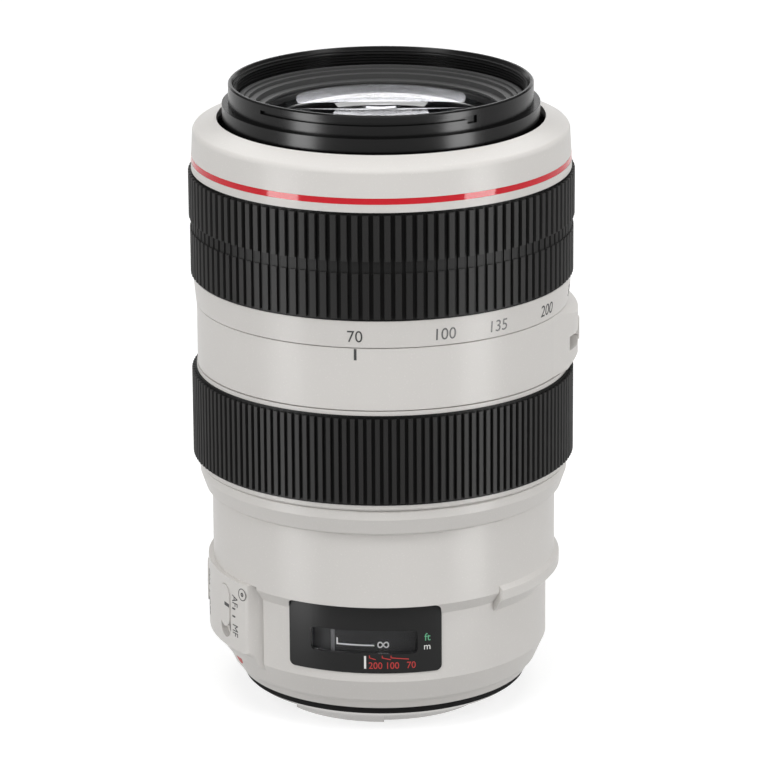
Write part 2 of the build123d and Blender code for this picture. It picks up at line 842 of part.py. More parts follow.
# Iris: blades on stepped levels pivot on the base, and a slotted ring swings them all together
iris_base_low = arm_low + holder_thick + iris_gap
iris_base_high = iris_base_low + iris_base_thick
blade_low = iris_base_high + blade_step - blade_thick
iris_ring_low = blade_low + blade_count * blade_step
iris_ring_high = iris_ring_low + iris_ring_thick
blade_outer = blade_inner + blade_width
pivot_circle = blade_outer + iris_pivot_inset
with BuildPart() as iris_base:
    block_ring(blade_inner - iris_base_inset, sleeve_inner - seat_play, iris_base_low, iris_base_high)
    block_ring(sleeve_inner - iris_rim_width, sleeve_inner - seat_play, iris_base_high, iris_ring_low - iris_ring_gap)
    with Locations((0, 0, iris_base_low - overrun)):
        with PolarLocations(pivot_circle, blade_count):
            Cylinder(iris_pin_radius + slide_play, iris_base_thick + 2 * overrun,
                     align=(Align.CENTER, Align.CENTER, Align.MIN), mode=Mode.SUBTRACT)
save(iris_base, "iris_base")


def driven_pin(share):
    """Where a blade's drive pin stands after that share of its swing, with the pivot at angle 0."""
    start = Vector(*spot(pivot_circle, iris_drive_angle)) - Vector(pivot_circle, 0)
    return Vector(pivot_circle, 0) + start.rotate(Axis.Z, share * blade_turn_angle)


for blade_number in range(blade_count):
    level = blade_low + blade_number * blade_step
    pivot_angle = blade_number * 360 / blade_count
    with BuildPart() as iris_blade:
        with BuildSketch(Plane((0, 0, level), x_dir=(*spot(1, pivot_angle), 0), z_dir=(0, 0, 1))) as leaf:
            with BuildLine():
                CenterArc((0, 0), blade_inner, blade_start_angle, blade_arc_angle)
                CenterArc((0, 0), blade_outer, blade_start_angle, blade_arc_angle)
                for end in (blade_start_angle, blade_start_angle + blade_arc_angle):
                    Line(spot(blade_inner, end), spot(blade_outer, end))
            make_face()
            fillet(leaf.vertices().group_by(Axis.X)[0], radius=iris_pin_radius)
            with BuildLine():
                Polyline(spot(blade_outer, blade_start_angle), spot(blade_outer - iris_ear_wall, -blade_start_angle),
                         (pivot_circle, iris_pin_radius + iris_ear_wall), driven_pin(0), close=True)
            make_face()
            with Locations((pivot_circle, 0), driven_pin(0)):
                Circle(iris_pin_radius + iris_ear_wall)
        extrude(leaf.sketch, amount=blade_thick)
        pivot = Vector(*spot(pivot_circle, pivot_angle))
        driven = driven_pin(0).rotate(Axis.Z, pivot_angle)
        with BuildSketch(Plane.XY.offset(iris_base_low)) as pivot_pin:
            with Locations(pivot):
                Circle(iris_pin_radius)
        extrude(pivot_pin.sketch, amount=level - iris_base_low + blade_thick)
        with BuildSketch(Plane.XY.offset(level)) as drive_pin:
            with Locations(driven):
                Circle(iris_pin_radius)
        extrude(drive_pin.sketch, amount=iris_ring_high - level)
    save(iris_blade, f"iris_blade_{blade_number + 1}")

with BuildPart() as iris_drive_ring:
    block_ring(blade_inner, sleeve_inner - run_play, iris_ring_low, iris_ring_high)
    for blade_number in range(blade_count):
        pivot_angle = blade_number * 360 / blade_count
        with BuildSketch(Plane((0, 0, iris_ring_low), x_dir=(*spot(1, pivot_angle), 0), z_dir=(0, 0, 1))) as slot:
            places = [driven_pin(share).rotate(Axis.Z, -share * iris_ring_turn_angle) for share in (0, 0.5, 1)]
            SlotArc(Edge.make_three_point_arc(*places), 2 * (iris_pin_radius + slide_play))
        extrude(slot.sketch, amount=iris_ring_thick, mode=Mode.SUBTRACT)
save(iris_drive_ring, "iris_drive_ring")

# Iris motor, on a plate above the drive ring
iris_plate_low = iris_ring_high + ring_play
with BuildPart() as iris_motor:
    block_ring(sleeve_inner - iris_motor_width, sleeve_inner - seat_play, iris_plate_low,
               iris_plate_low + iris_motor_plate, iris_motor_angle - iris_motor_arc_angle / 2, iris_motor_arc_angle)
    with BuildSketch(Plane.XY.offset(iris_plate_low)) as can:
        with Locations(spot(sleeve_inner - iris_motor_width / 2, iris_motor_angle)):
            Circle(iris_motor_radius)
    extrude(can.sketch, amount=iris_motor_length)
save(iris_motor, "iris_motor")

# Ring motor: the stator is fixed on the sleeve's shelf and the rotor turns the focus drive
with BuildPart() as motor_stator:
    block_ring(stator_inner, stator_outer, shelf_high + seat_play, shelf_high + stator_thick)
save(motor_stator, "motor_stator")

rotor_low = shelf_high + stator_thick + rotor_gap
drive_low = rotor_low + rotor_thick
with BuildPart() as motor_rotor:
    block_ring(stator_inner, stator_outer, rotor_low, drive_low - seat_play)
save(motor_rotor, "motor_rotor")

# Focus drive ring: slotted tube that pushes the focus group along
drive_inner = sleeve_outer + run_play
drive_outer = drive_inner + drive_wall
drum_inner = drum_radius - drum_wall
drive_turn = focus_turn_angle * focus_drive_share
with BuildPart() as focus_slot_bar:
    helical_bar(drive_turn, focus_pin_height, focus_travel, focus_slot_half,
                drive_inner - ring_play, drive_outer + ring_play)

with BuildPart() as focus_drive_ring:
    turned([
        (drive_inner, drive_low),
        (drum_inner - seat_play, drive_low),
        (drum_inner - seat_play, drive_low + drive_flange),
        (drive_outer, drive_low + drive_flange),
        (drive_outer, sleeve_high - drive_top_gap),
        (drive_inner, sleeve_high - drive_top_gap),
    ])
    cut_cam_slots(focus_slot_bar, focus_pin_angle, drive_turn, focus_pin_height, focus_travel, focus_slot_half,
                  drive_inner - ring_play, drive_outer + ring_play)
save(focus_drive_ring, "focus_drive_ring")

# Distance drum: carries the scale past the window
with BuildPart() as distance_drum:
    block_ring(drum_inner, drum_radius, window_low - drum_drop, drive_low + drive_flange)
save(distance_drum, "distance_drum")

# Focus group: slides in the sleeve on three pins that reach the drive ring's slots
focus_cell_high = focus_cell_low + focus_cell_height
with BuildPart() as focus_cell:
    focus_outer = sleeve_inner - run_play
    turned([
        (focus_outer, focus_cell_low),
        (focus_outer, focus_cell_high),
        (focus_outer - focus_skirt, focus_cell_high),
        (focus_outer - focus_skirt, focus_cell_low + focus_web),
        (focus_glass_radius + focus_cell_wall, focus_cell_low + focus_web),
        (focus_glass_radius + focus_cell_wall, focus_cell_low + focus_web + focus_glass_edge),
        (focus_glass_radius + seat_play, focus_cell_low + focus_web + focus_glass_edge),
        (focus_glass_radius + seat_play, focus_cell_low),
    ])
    for pin in range(cam_count):
        radial_peg(focus_pin_angle + pin * 360 / cam_count, focus_pin_height, focus_pin_radius,
                   focus_outer - focus_skirt / 2, drive_outer)
save(focus_cell, "focus_cell")

with BuildPart() as focus_element:
    glass(focus_glass_radius, focus_cell_low + focus_web, focus_cell_low + focus_web + focus_glass_edge,
          focus_glass_sag, focus_glass_sag)
save(focus_element, "focus_element")

# Guide barrel: fixed tube with straight slots for the rollers and a slot round it for the key
with BuildPart() as guide_barrel:
    block_ring(guide_inner, guide_outer, guide_low, guide_high)
    slot_inner = guide_inner - overrun
    slot_outer = guide_outer + overrun
    for cam in range(cam_count):
        straight_slot(front_roller_angle + cam * 360 / cam_count, front_roller_height,
                      front_roller_height + zoom_travel, slot_half, slot_inner, slot_outer)
        straight_slot(variator_roller_angle + cam * 360 / cam_count, variator_roller_height,
                      variator_roller_height + variator_travel, slot_half, slot_inner, slot_outer)
    key_half = key_radius + slide_play
    block_ring(slot_inner, slot_outer, key_height - key_half, key_height + key_half,
               key_angle - zoom_turn_angle, zoom_turn_angle, Mode.SUBTRACT)
    radial_peg(key_angle, key_height, key_half, slot_inner, slot_outer, Mode.SUBTRACT)
    radial_peg(key_angle - zoom_turn_angle, key_height, key_half, slot_inner, slot_outer, Mode.SUBTRACT)
save(guide_barrel, "guide_barrel")

# Cam barrel: turns inside the guide barrel and drives both groups with its helical slots
cam_cut = (slot_half, cam_inner - ring_play, cam_outer + ring_play)
with BuildPart() as front_slot_bar:
    helical_bar(zoom_turn_angle, front_roller_height, zoom_travel, *cam_cut)

with BuildPart() as variator_slot_bar:
    helical_bar(zoom_turn_angle, variator_roller_height, variator_travel, *cam_cut)

with BuildPart() as cam_barrel:
    block_ring(cam_inner, cam_outer, cam_low, cam_high)
    radial_peg(key_angle, key_height, key_radius + seat_play, cam_inner - overrun, cam_outer + overrun, Mode.SUBTRACT)
    cut_cam_slots(front_slot_bar, front_roller_angle, zoom_turn_angle, front_roller_height, zoom_travel, *cam_cut)
    cut_cam_slots(variator_slot_bar, variator_roller_angle, zoom_turn_angle, variator_roller_height, variator_travel,
                  *cam_cut)
save(cam_barrel, "cam_barrel")

with BuildPart() as zoom_key:
    radial_peg(key_angle, key_height, key_radius, cam_inner + seat_play, turning_inner + key_grip)
save(zoom_key, "zoom_key")

# Variator group: rides inside the cam barrel on its own rollers
variator_low = variator_roller_height - variator_height / 2
with BuildPart() as variator_cell:
    variator_high = variator_low + variator_height
    cell_outer = variator_glass_radius + variator_cell_wall
    web_low = variator_roller_height - variator_web / 2
    web_high = variator_roller_height + variator_web / 2
    turned([
        (slide_radius, variator_low),
        (slide_radius, variator_high),
        (slide_radius - variator_wall, variator_high),
        (slide_radius - variator_wall, web_high),
        (cell_outer, web_high),
        (cell_outer, variator_high),
        (variator_glass_radius + seat_play, variator_high),
        (variator_glass_radius + seat_play, variator_low),
        (cell_outer, variator_low),
        (cell_outer, web_low),
        (slide_radius - variator_wall, web_low),
        (slide_radius - variator_wall, variator_low),
    ])
    roller_holes(variator_roller_angle, variator_roller_height)
save(variator_cell, "variator_cell")

with BuildPart() as variator_rollers:
    rollers(variator_roller_angle, variator_roller_height)
save(variator_rollers, "variator_rollers")

with BuildPart() as variator_element:
    glass(variator_glass_radius, variator_roller_height - variator_glass_edge / 2,
          variator_roller_height + variator_glass_edge / 2, variator_glass_sag, variator_glass_sag)
save(variator_element, "variator_element")

# Front barrel: the tube that runs out of the lens as it zooms in
tube_radius = lip_radius - tube_inset
tube_low = front_roller_height - tube_flange / 2
tube_inner = tube_radius - tube_wall
hood_low = zoom_high + hood_gap
hood_high = hood_low + hood_height
ring_low = hood_low - ring_foot
with BuildPart() as front_barrel:
    turned([
        (tube_inner, tube_low),
        (slide_radius, tube_low),
        (slide_radius, tube_low + tube_flange),
        (tube_radius, tube_low + tube_flange),
        (tube_radius, ring_low - seat_play),
        (tube_inner, ring_low - seat_play),
    ])
    roller_holes(front_roller_angle, front_roller_height)
save(front_barrel, "front_barrel")

with BuildPart() as front_rollers:
    rollers(front_roller_angle, front_roller_height)
save(front_rollers, "front_rollers")

# Filter ring: the front rim with its thread, the hood seat and two notched grooves for a hood's claws
hood_radius = tube_radius + hood_proud
rim_outer = hood_radius - rim_step
rim_high = hood_high + rim_height_front
thread_radius = rim_outer - rim_wall
thread_low = hood_high + thread_rise
thread_high = thread_low + thread_height
retainer_outer = thread_radius - retainer_inset - seat_play
front_top = thread_low - front_glass_drop
cell_top = front_top + cell_rise
with BuildPart() as filter_ring:
    turned([
        (tube_radius, ring_low),
        (tube_radius, hood_low),
        (hood_radius, hood_low),
        (hood_radius, hood_high),
        (rim_outer, hood_high),
        (rim_outer, rim_high - rim_bevel),
        (rim_outer - rim_bevel, rim_high),
        (thread_radius + rim_cone, rim_high),
        (thread_radius, thread_high),
        (thread_radius, thread_low),
        (retainer_outer + seat_play, thread_low),
        (retainer_outer + seat_play, cell_top + seat_play),
        (tube_inner, cell_top + seat_play),
        (tube_inner, ring_low),
    ])
    groove_high = rim_high - hood_groove_drop
    groove_floor = rim_outer - hood_groove_depth
    for groove in range(hood_groove_count):
        groove_start = bearing(hood_groove_angle) + groove * 360 / hood_groove_count
        block_ring(groove_floor, rim_outer + overrun, groove_high - hood_groove_height, groove_high,
                   groove_start, hood_groove_arc_angle, Mode.SUBTRACT)
        block_ring(groove_floor, rim_outer + overrun, groove_high - hood_notch_height, groove_high,
                   groove_start + hood_groove_arc_angle - hood_notch_arc_angle, hood_notch_arc_angle, Mode.SUBTRACT)
save(filter_ring, "filter_ring")

# Front cell: holds the two front elements inside the front barrel
front_glass_radius = tube_inner - seat_play - cell_wall
front_foot = front_top - front_glass_edge
second_top = front_foot - glass_gap
second_foot = second_top - second_glass_edge
second_glass_radius = front_glass_radius - second_glass_inset
cell_ledge = front_foot - seat_play - face_height(front_glass_radius, front_glass_back, second_glass_radius)
with BuildPart() as front_cell:
    turned([
        (tube_inner - seat_play, second_foot - cell_floor),
        (tube_inner - seat_play, cell_top),
        (front_glass_radius + seat_play, cell_top),
        (front_glass_radius + seat_play, cell_ledge),
        (second_glass_radius + seat_play, cell_ledge),
        (second_glass_radius + seat_play, second_foot - seat_play),
        (second_glass_radius - cell_floor, second_foot - seat_play),
        (second_glass_radius - cell_floor, second_foot - cell_floor),
    ])
save(front_cell, "front_cell")

with BuildPart() as front_element:
    glass(front_glass_radius, front_foot, front_top, front_glass_back, front_glass_sag)
save(front_element, "front_element")

with BuildPart() as second_element:
    glass(second_glass_radius, second_foot, second_top, second_glass_back, second_glass_sag)
save(second_element, "second_element")

# Stepped retaining ring, round the edge of the front element
retainer_inner = retainer_outer - retainer_width
retainer_top = thread_low - retainer_drop
with BuildPart() as front_retainer:
    steps = [(retainer_outer, retainer_top)]
    for across_share, down_share in retainer_step_shares:
        radius = retainer_inner + across_share * retainer_width
        steps.append((radius, steps[-1][1]))
        steps.append((radius, retainer_top - down_share * retainer_fall))
    edge_height = front_top + face_height(front_glass_radius, front_glass_sag, retainer_inner)
    turned([
        *steps,
        (retainer_inner, retainer_top - retainer_fall),
        (retainer_inner, edge_height + slide_play),
        (front_glass_radius - seat_play, front_top + slide_play),
        (front_glass_radius - seat_play, cell_top + seat_play),
        (retainer_outer, cell_top + seat_play),
    ])
save(front_retainer, "front_retainer")

# Index barrel: the fixed white ring between the focus and zoom rings, with a pocket for the lock panel
lock_floor = guide_outer + lock_floor_wall
lock_radius = index_radius + lock_proud
lock_slot_height = index_low + lock_slot_rise
with BuildPart() as index_barrel:
    block_ring(guide_outer + seat_play, index_radius, index_low, zoom_low - seam)
    chamfer(index_barrel.edges().filter_by(GeomType.CIRCLE).sort_by(SortBy.LENGTH)[-2:], length=slide_play)
    block_ring(lock_floor, index_radius + overrun, index_low - overrun, zoom_low, bearing(lock_start_angle),
               lock_end_angle - lock_start_angle, Mode.SUBTRACT)
save(index_barrel, "index_barrel")

# Lock panel: a cover that swells out of the barrel, with a slot round it for the lever
with BuildPart() as lock_panel:
    with BuildSketch(Plane.XY.offset(index_low)) as plan:
        with BuildLine():
            swell = CenterArc((0, 0), lock_radius, bearing(lock_rise_angle), lock_fall_angle - lock_rise_angle)
            edge_start = spot(index_radius, bearing(lock_start_angle))
            edge_end = spot(index_radius, bearing(lock_end_angle))
            Spline(edge_start, swell @ 0, tangents=(spot(1, bearing(lock_start_angle) + 90), swell % 0))
            Spline(swell @ 1, edge_end, tangents=(swell % 1, spot(1, bearing(lock_end_angle) + 90)))
            Line(edge_end, spot(lock_floor + seat_play, bearing(lock_end_angle)))
            CenterArc((0, 0), lock_floor + seat_play, bearing(lock_start_angle), lock_end_angle - lock_start_angle)
            Line(spot(lock_floor + seat_play, bearing(lock_start_angle)), edge_start)
        make_face()
    extrude(plan.sketch, amount=zoom_low - seam - index_low)
    turned(
        [
            (index_radius, zoom_low),
            (index_radius, zoom_low - seam),
            (lock_radius, zoom_low - seam - lock_top_bevel),
            (lock_radius + overrun, zoom_low - seam - lock_top_bevel),
            (lock_radius + overrun, zoom_low),
        ],
        mode=Mode.SUBTRACT,
    )
    turned(
        [
            (index_radius + lock_foot_proud, index_low - overrun),
            (index_radius + lock_foot_proud, index_low),
            (lock_radius, index_low + lock_foot_bevel),
            (lock_radius + overrun, index_low + lock_foot_bevel),
            (lock_radius + overrun, index_low - overrun),
        ],
        mode=Mode.SUBTRACT,
    )
    block_ring(lock_floor - overrun, lock_radius - lock_skin, lock_slot_height - lock_hollow_half,
               lock_slot_height + lock_hollow_half, bearing(lock_slot_start_angle) + lock_hollow_angle,
               lock_slot_end_angle - lock_slot_start_angle, Mode.SUBTRACT)
    block_ring(lock_floor, lock_radius + overrun, lock_slot_height - lock_slot_half, lock_slot_height + lock_slot_half,
               bearing(lock_slot_start_angle), lock_slot_end_angle - lock_slot_start_angle, Mode.SUBTRACT)
save(lock_panel, "lock_panel")

# Lock lever: a plate behind the panel and a cap in front of it, joined through the slot
lever_half_angle = degrees(lever_width / 2 / lock_radius)
lever_place_angle = bearing(lock_slot_end_angle) - lever_half_angle - seam
with BuildPart() as lock_lever:
    plate_inner = lock_floor + ring_play
    block_ring(plate_inner, plate_inner + lever_plate_thick, lock_slot_height - lever_plate_half,
               lock_slot_height + lever_plate_half, lever_place_angle - lever_half_angle, 2 * lever_half_angle)
    cap_start = lever_place_angle - lever_half_angle + seam
    cap_arc = 2 * (lever_half_angle - seam)
    block_ring(plate_inner, lock_radius + lever_cap_gap + lever_cap_thick, lock_slot_height - lock_slot_half + run_play,
               lock_slot_height + lock_slot_half - run_play, cap_start, cap_arc)
    block_ring(lock_radius + lever_cap_gap, lock_radius + lever_cap_gap + lever_cap_thick,
               lock_slot_height - lever_cap_half, lock_slot_height + lever_cap_half, cap_start, cap_arc)
save(lock_lever, "lock_lever")

# Focus ring and its rubber grip
with BuildPart() as focus_ring:
    turned([
        (turning_inner, focus_low),
        (index_radius, focus_low),
        (index_radius + focus_lip_proud, focus_low + focus_lip_proud),
        (index_radius + focus_lip_proud, focus_low + focus_lip_height),
        (core_radius, focus_low + focus_lip_height),
        (core_radius, index_low - focus_rim_height),
        (index_radius + focus_rim_proud, index_low - focus_rim_height),
        (index_radius + focus_rim_proud, index_low - seam),
        (turning_inner, index_low - seam),
    ])
save(focus_ring, "focus_ring")

grip_inner = core_radius + seat_play
grip_valley = core_radius + grip_base
focus_grip_low = focus_low + focus_lip_height + seat_play
focus_grip_high = index_low - focus_rim_height - seat_play
with BuildPart() as focus_grip:
    block_ring(grip_inner, grip_valley, focus_grip_low, focus_grip_high)
    ribs(focus_ribs, grip_inner, grip_valley, grip_valley + focus_rib_height,
         focus_grip_low + rib_end, focus_grip_high - rib_end)
save(focus_grip, "focus_grip")

# Zoom ring: scale band, core under the grip, and the seats of the accent ring and nose
accent_floor = index_radius + accent_proud - accent_depth
with BuildPart() as zoom_ring:
    turned([
        (turning_inner, zoom_low),
        (index_radius + band_proud, zoom_low),
        (index_radius + band_proud + band_spread, band_high),
        (core_radius, band_high),
        (core_radius, zoom_rim_low),
        (index_radius + zoom_rim_proud, zoom_rim_low),
        (index_radius + zoom_rim_proud, accent_low - seat_play),
        (accent_floor, accent_low - seat_play),
        (accent_floor, nose_high - nose_wall_drop),
        (turning_inner, nose_high - nose_wall_drop),
    ])
    radial_peg(key_angle, key_height, key_radius + seat_play, turning_inner - overrun,
               turning_inner + key_grip + seat_play, Mode.SUBTRACT)
save(zoom_ring, "zoom_ring")

with BuildPart() as accent_ring:
    block_ring(accent_floor + seat_play, index_radius + accent_proud, accent_low, accent_high - seat_play)
save(accent_ring, "accent_ring")

with BuildPart() as front_ring:
    nose_edge = index_radius + nose_proud - nose_taper
    turned([
        (accent_floor + seat_play, accent_high),
        (index_radius + nose_proud, accent_high),
        (nose_edge, nose_high),
        (lip_radius, zoom_high),
        (lip_radius, zoom_high - lip_thick),
        (turning_inner, nose_high - nose_wall_drop + seat_play),
        (accent_floor + seat_play, nose_high - nose_wall_drop + seat_play),
    ])
    rounded = front_ring.edges().filter_by(GeomType.CIRCLE)
    fillet(rounded.filter_by(lambda edge: abs(edge.radius - nose_edge) < seat_play), radius=nose_round)
save(front_ring, "front_ring")

zoom_grip_low = band_high + seat_play
zoom_grip_high = zoom_rim_low - seat_play
zoom_crown = grip_valley + zoom_rib_height
notch_low = band_high + notch_rise
notch_high = notch_low + notch_height
with BuildPart() as zoom_grip:
    block_ring(grip_inner, grip_valley, zoom_grip_low, zoom_grip_high)
    ribs(zoom_ribs, grip_inner, grip_valley, zoom_crown + seat_play, zoom_grip_low + rib_end, zoom_grip_high - rib_end)
    turned(
        [
            (zoom_crown - zoom_low_inset, zoom_grip_low),
            (zoom_crown - zoom_low_inset, notch_low),
            (zoom_crown - zoom_notch_inset, notch_low),
            (zoom_crown - zoom_notch_inset, notch_high),
            (zoom_crown, notch_high),
            (zoom_crown, zoom_grip_high),
            (zoom_crown + overrun, zoom_grip_high),
            (zoom_crown + overrun, zoom_grip_low),
        ],
        mode=Mode.SUBTRACT,
    )
save(zoom_grip, "zoom_grip")
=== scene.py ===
import math

import bmesh
import bpy
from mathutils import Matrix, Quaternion, Vector


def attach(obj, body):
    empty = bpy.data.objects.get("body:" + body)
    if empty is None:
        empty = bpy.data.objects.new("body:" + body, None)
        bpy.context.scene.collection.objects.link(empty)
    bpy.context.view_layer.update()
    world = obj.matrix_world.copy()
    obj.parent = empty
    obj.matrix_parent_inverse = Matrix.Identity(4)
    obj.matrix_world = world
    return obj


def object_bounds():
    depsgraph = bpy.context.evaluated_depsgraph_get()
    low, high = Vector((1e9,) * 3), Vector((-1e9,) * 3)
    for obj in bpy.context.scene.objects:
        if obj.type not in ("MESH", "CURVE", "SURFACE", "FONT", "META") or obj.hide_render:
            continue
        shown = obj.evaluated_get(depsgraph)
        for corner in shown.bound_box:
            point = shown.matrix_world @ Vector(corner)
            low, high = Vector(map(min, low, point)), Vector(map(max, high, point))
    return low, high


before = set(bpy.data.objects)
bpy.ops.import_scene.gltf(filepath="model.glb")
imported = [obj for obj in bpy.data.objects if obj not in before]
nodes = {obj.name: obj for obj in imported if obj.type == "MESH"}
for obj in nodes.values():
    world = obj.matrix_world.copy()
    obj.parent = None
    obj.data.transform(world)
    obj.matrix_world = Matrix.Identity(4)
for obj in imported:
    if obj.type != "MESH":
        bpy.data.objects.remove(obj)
cadBox = [list(corner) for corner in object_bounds()]
scene = bpy.context.scene
mm = 0.001
print("frame loaded:", len(nodes), "nodes")


# a socket of a shader tree, so that shader maths reads as sums
class Wire:
    def __init__(self, shader, socket):
        self.shader = shader
        self.socket = socket

    def maths(self, operation, *others):
        return self.shader.node("ShaderNodeMath", {"operation": operation}, [self, *others])

    def __add__(self, other):
        return self.maths("ADD", other)

    __radd__ = __add__

    def __mul__(self, other):
        return self.maths("MULTIPLY", other)

    __rmul__ = __mul__

    def __sub__(self, other):
        return self.maths("SUBTRACT", other)

    def __rsub__(self, other):
        return self.shader.node("ShaderNodeMath", {"operation": "SUBTRACT"}, [other, self])

    def __truediv__(self, other):
        return self.maths("DIVIDE", other)

    def __pow__(self, other):
        return self.maths("POWER", other)

    def below(self, limit):
        return self.maths("LESS_THAN", limit)

    def clamped(self):
        return self.shader.node("ShaderNodeClamp", {}, {"Value": self})

    def swing(self, share):
        # noise swings about a half
        return (self - 0.5) * share


class Shader:
    def __init__(self, name=None, tree=None):
        if tree is None:
            self.material = bpy.data.materials.new(name)
            self.material.use_nodes = True
            tree = self.material.node_tree
        self.tree = tree
        self.tree.nodes.clear()

    def node(self, kind, settings=None, values=None, output=0):
        made = self.tree.nodes.new(kind)
        for key, value in (settings or {}).items():
            setattr(made, key, value)
        pairs = enumerate(values) if isinstance(values, (list, tuple)) else (values or {}).items()
        for key, value in pairs:
            if isinstance(value, Wire):
                self.tree.links.new(value.socket, made.inputs[key])
            else:
                made.inputs[key].default_value = value
        return Wire(self, made.outputs[output]) if made.outputs else None

    def place(self):
        return self.node("ShaderNodeTexCoord", output="Object")

    def parts(self, vector):
        split = self.node("ShaderNodeSeparateXYZ", {}, [vector]).socket.node
        return [Wire(self, out) for out in split.outputs]

    def noise(self, scale, detail, roughness):
        return self.node("ShaderNodeTexNoise", {}, {"Vector": self.place(), "Scale": scale, "Detail": detail,
                                                    "Roughness": roughness})

    def mixColour(self, factor, first, second):
        return self.node("ShaderNodeMix", {"data_type": "RGBA"}, {0: factor, 6: first, 7: second}, output=2)

    def bump(self, height, settings):
        return self.node("ShaderNodeBump", {}, {"Height": height, "Strength": settings["bump"],
                                                "Distance": settings["grain"]})

    def finish(self, surface):
        self.node("ShaderNodeOutputMaterial", {}, {"Surface": surface})
        return self.material

    def principled(self, **values):
        named = {key.replace("_", " "): value for key, value in values.items()}
        return self.finish(self.node("ShaderNodeBsdfPrincipled", {}, named))


def grey(level, warmth=0.0):
    return (level * (1 + warmth), level, level * (1 - warmth), 1.0)


def shade(colour, share):
    return tuple(min(1.0, part * share) for part in colour[:3]) + (1.0,)


# light paint with fine, paler flakes
paint = {"colour": (0.680, 0.660, 0.635, 1.0), "dull": 0.965, "full": 1.02, "pale": 1.30,
         "flakes": {"scale": 2600.0, "detail": 1.0, "roughness": 0.6},
         "flakeFrom": 0.62, "flakeGain": 7.0, "flakeShare": 0.24, "flakeHeight": 0.6,
         "cloud": {"scale": 28.0, "detail": 3.0, "roughness": 0.55},
         "skin": {"scale": 900.0, "detail": 3.0, "roughness": 0.6}, "skinHeight": 0.4,
         "roughness": 0.34, "range": 0.14, "specular": 0.06, "bump": 0.35, "grain": 0.02 * mm}
panelPaint = dict(paint, roughness=0.38, dull=0.9843, full=1.0404, pale=1.326)


def lightPaint(name, settings):
    s = Shader(name)
    flakes = s.noise(**settings["flakes"])
    cloud = s.noise(**settings["cloud"])
    skin = s.noise(**settings["skin"])
    dull, full, pale = (shade(settings["colour"], settings[part]) for part in ("dull", "full", "pale"))
    sparkle = ((flakes - settings["flakeFrom"]) * settings["flakeGain"]).clamped()
    height = flakes * settings["flakeHeight"] + skin * settings["skinHeight"]
    return s.principled(
        Base_Color=s.mixColour(sparkle * settings["flakeShare"], s.mixColour(cloud, dull, full), pale),
        Roughness=settings["roughness"] + skin.swing(settings["range"]),
        Specular_IOR_Level=settings["specular"], Normal=s.bump(height, settings))


# satin blacks and other plain, slightly cloudy finishes
darkBase = {"warmth": 0.0, "metallic": 0.0, "specular": 0.12, "low": 0.86, "high": 1.12, "range": 0.10,
            "cloud": {"scale": 45.0, "detail": 3.0, "roughness": 0.5},
            "grainScale": 1400.0, "grainDetail": 2.0, "grainRoughness": 0.55, "bump": 0.4, "grain": 0.01 * mm}
darks = {
    "darkSatin": {"level": 0.010, "roughness": 0.30},
    "rimBlack": {"level": 0.006, "roughness": 0.25, "grainScale": 1800.0, "grain": 0.012 * mm,
                 "specular": 0.16},
    "threadBlack": {"level": 0.012, "roughness": 0.6, "grainScale": 1800.0, "grain": 0.006 * mm,
                    "specular": 0.05},
    "retainerGrey": {"level": 0.078, "roughness": 0.5, "grainScale": 1800.0, "grain": 0.004 * mm},
    "cellBlack": {"level": 0.040, "roughness": 0.40, "grain": 0.004 * mm, "specular": 0.4},
    "bezelBlack": {"level": 0.022, "roughness": 0.34, "specular": 0.08},
    "plasticBlack": {"level": 0.02, "roughness": 0.5},
    "sealRubber": {"level": 0.010, "roughness": 0.72, "grainScale": 2400.0, "grain": 0.03 * mm,
                   "specular": 0.06},
    "anodBlack": {"level": 0.03, "roughness": 0.4, "grainScale": 1200.0, "metallic": 0.6},
    "bladeBlack": {"level": 0.02, "roughness": 0.55, "grainScale": 2000.0, "grain": 0.006 * mm,
                   "metallic": 0.4},
    "nylon": {"level": 0.62, "roughness": 0.45, "grainScale": 900.0, "warmth": 0.03},
}


def smoothDark(name, settings):
    s = Shader(name)
    grain = s.noise(settings["grainScale"], settings["grainDetail"], settings["grainRoughness"])
    cloud = s.noise(**settings["cloud"])
    low, high = (grey(settings["level"] * settings[part], settings["warmth"]) for part in ("low", "high"))
    return s.principled(Base_Color=s.mixColour(cloud, low, high),
                        Roughness=settings["roughness"] + cloud.swing(settings["range"]),
                        Metallic=settings["metallic"], Specular_IOR_Level=settings["specular"],
                        Normal=s.bump(grain, settings))


# the crowns of the grips' ribs keep the rubber's own grey, and the grooves are painted much darker as painted
# shade
rubberBase = {"level": 0.021, "groove": 0.16, "crown": 1.15, "warmth": 0.02, "low": 43.7 * mm,
              "dust": {"scale": 70.0, "detail": 4.0, "roughness": 0.65}, "crownShare": 0.8, "dustShare": 0.2,
              "pores": {"scale": 2400.0, "detail": 2.0, "roughness": 0.6},
              "roughness": 0.50, "range": 0.14, "specular": 0.08, "bump": 0.45, "grain": 0.02 * mm}
rubbers = {"zoomRubber": {"high": 44.6 * mm}, "focusRubber": {"high": 44.45 * mm}}


def rubber(name, settings):
    s = Shader(name)
    x, y = s.parts(s.place())[:2]
    dust = s.noise(**settings["dust"])
    pores = s.noise(**settings["pores"])
    radius = (x * x + y * y) ** 0.5
    # the radius picks groove from crown: low on a rib the colour goes dark as painted shade, the crown keeps
    # the rubber's tone
    crown = ((radius - settings["low"]) / (settings["high"] - settings["low"])).clamped()
    dark, pale = (grey(settings["level"] * settings[part], settings["warmth"])
                  for part in ("groove", "crown"))
    return s.principled(
        Base_Color=s.mixColour(crown * settings["crownShare"] + dust * settings["dustShare"], dark, pale),
        Roughness=settings["roughness"] + dust * settings["range"],
        Specular_IOR_Level=settings["specular"], Normal=s.bump(pores, settings))


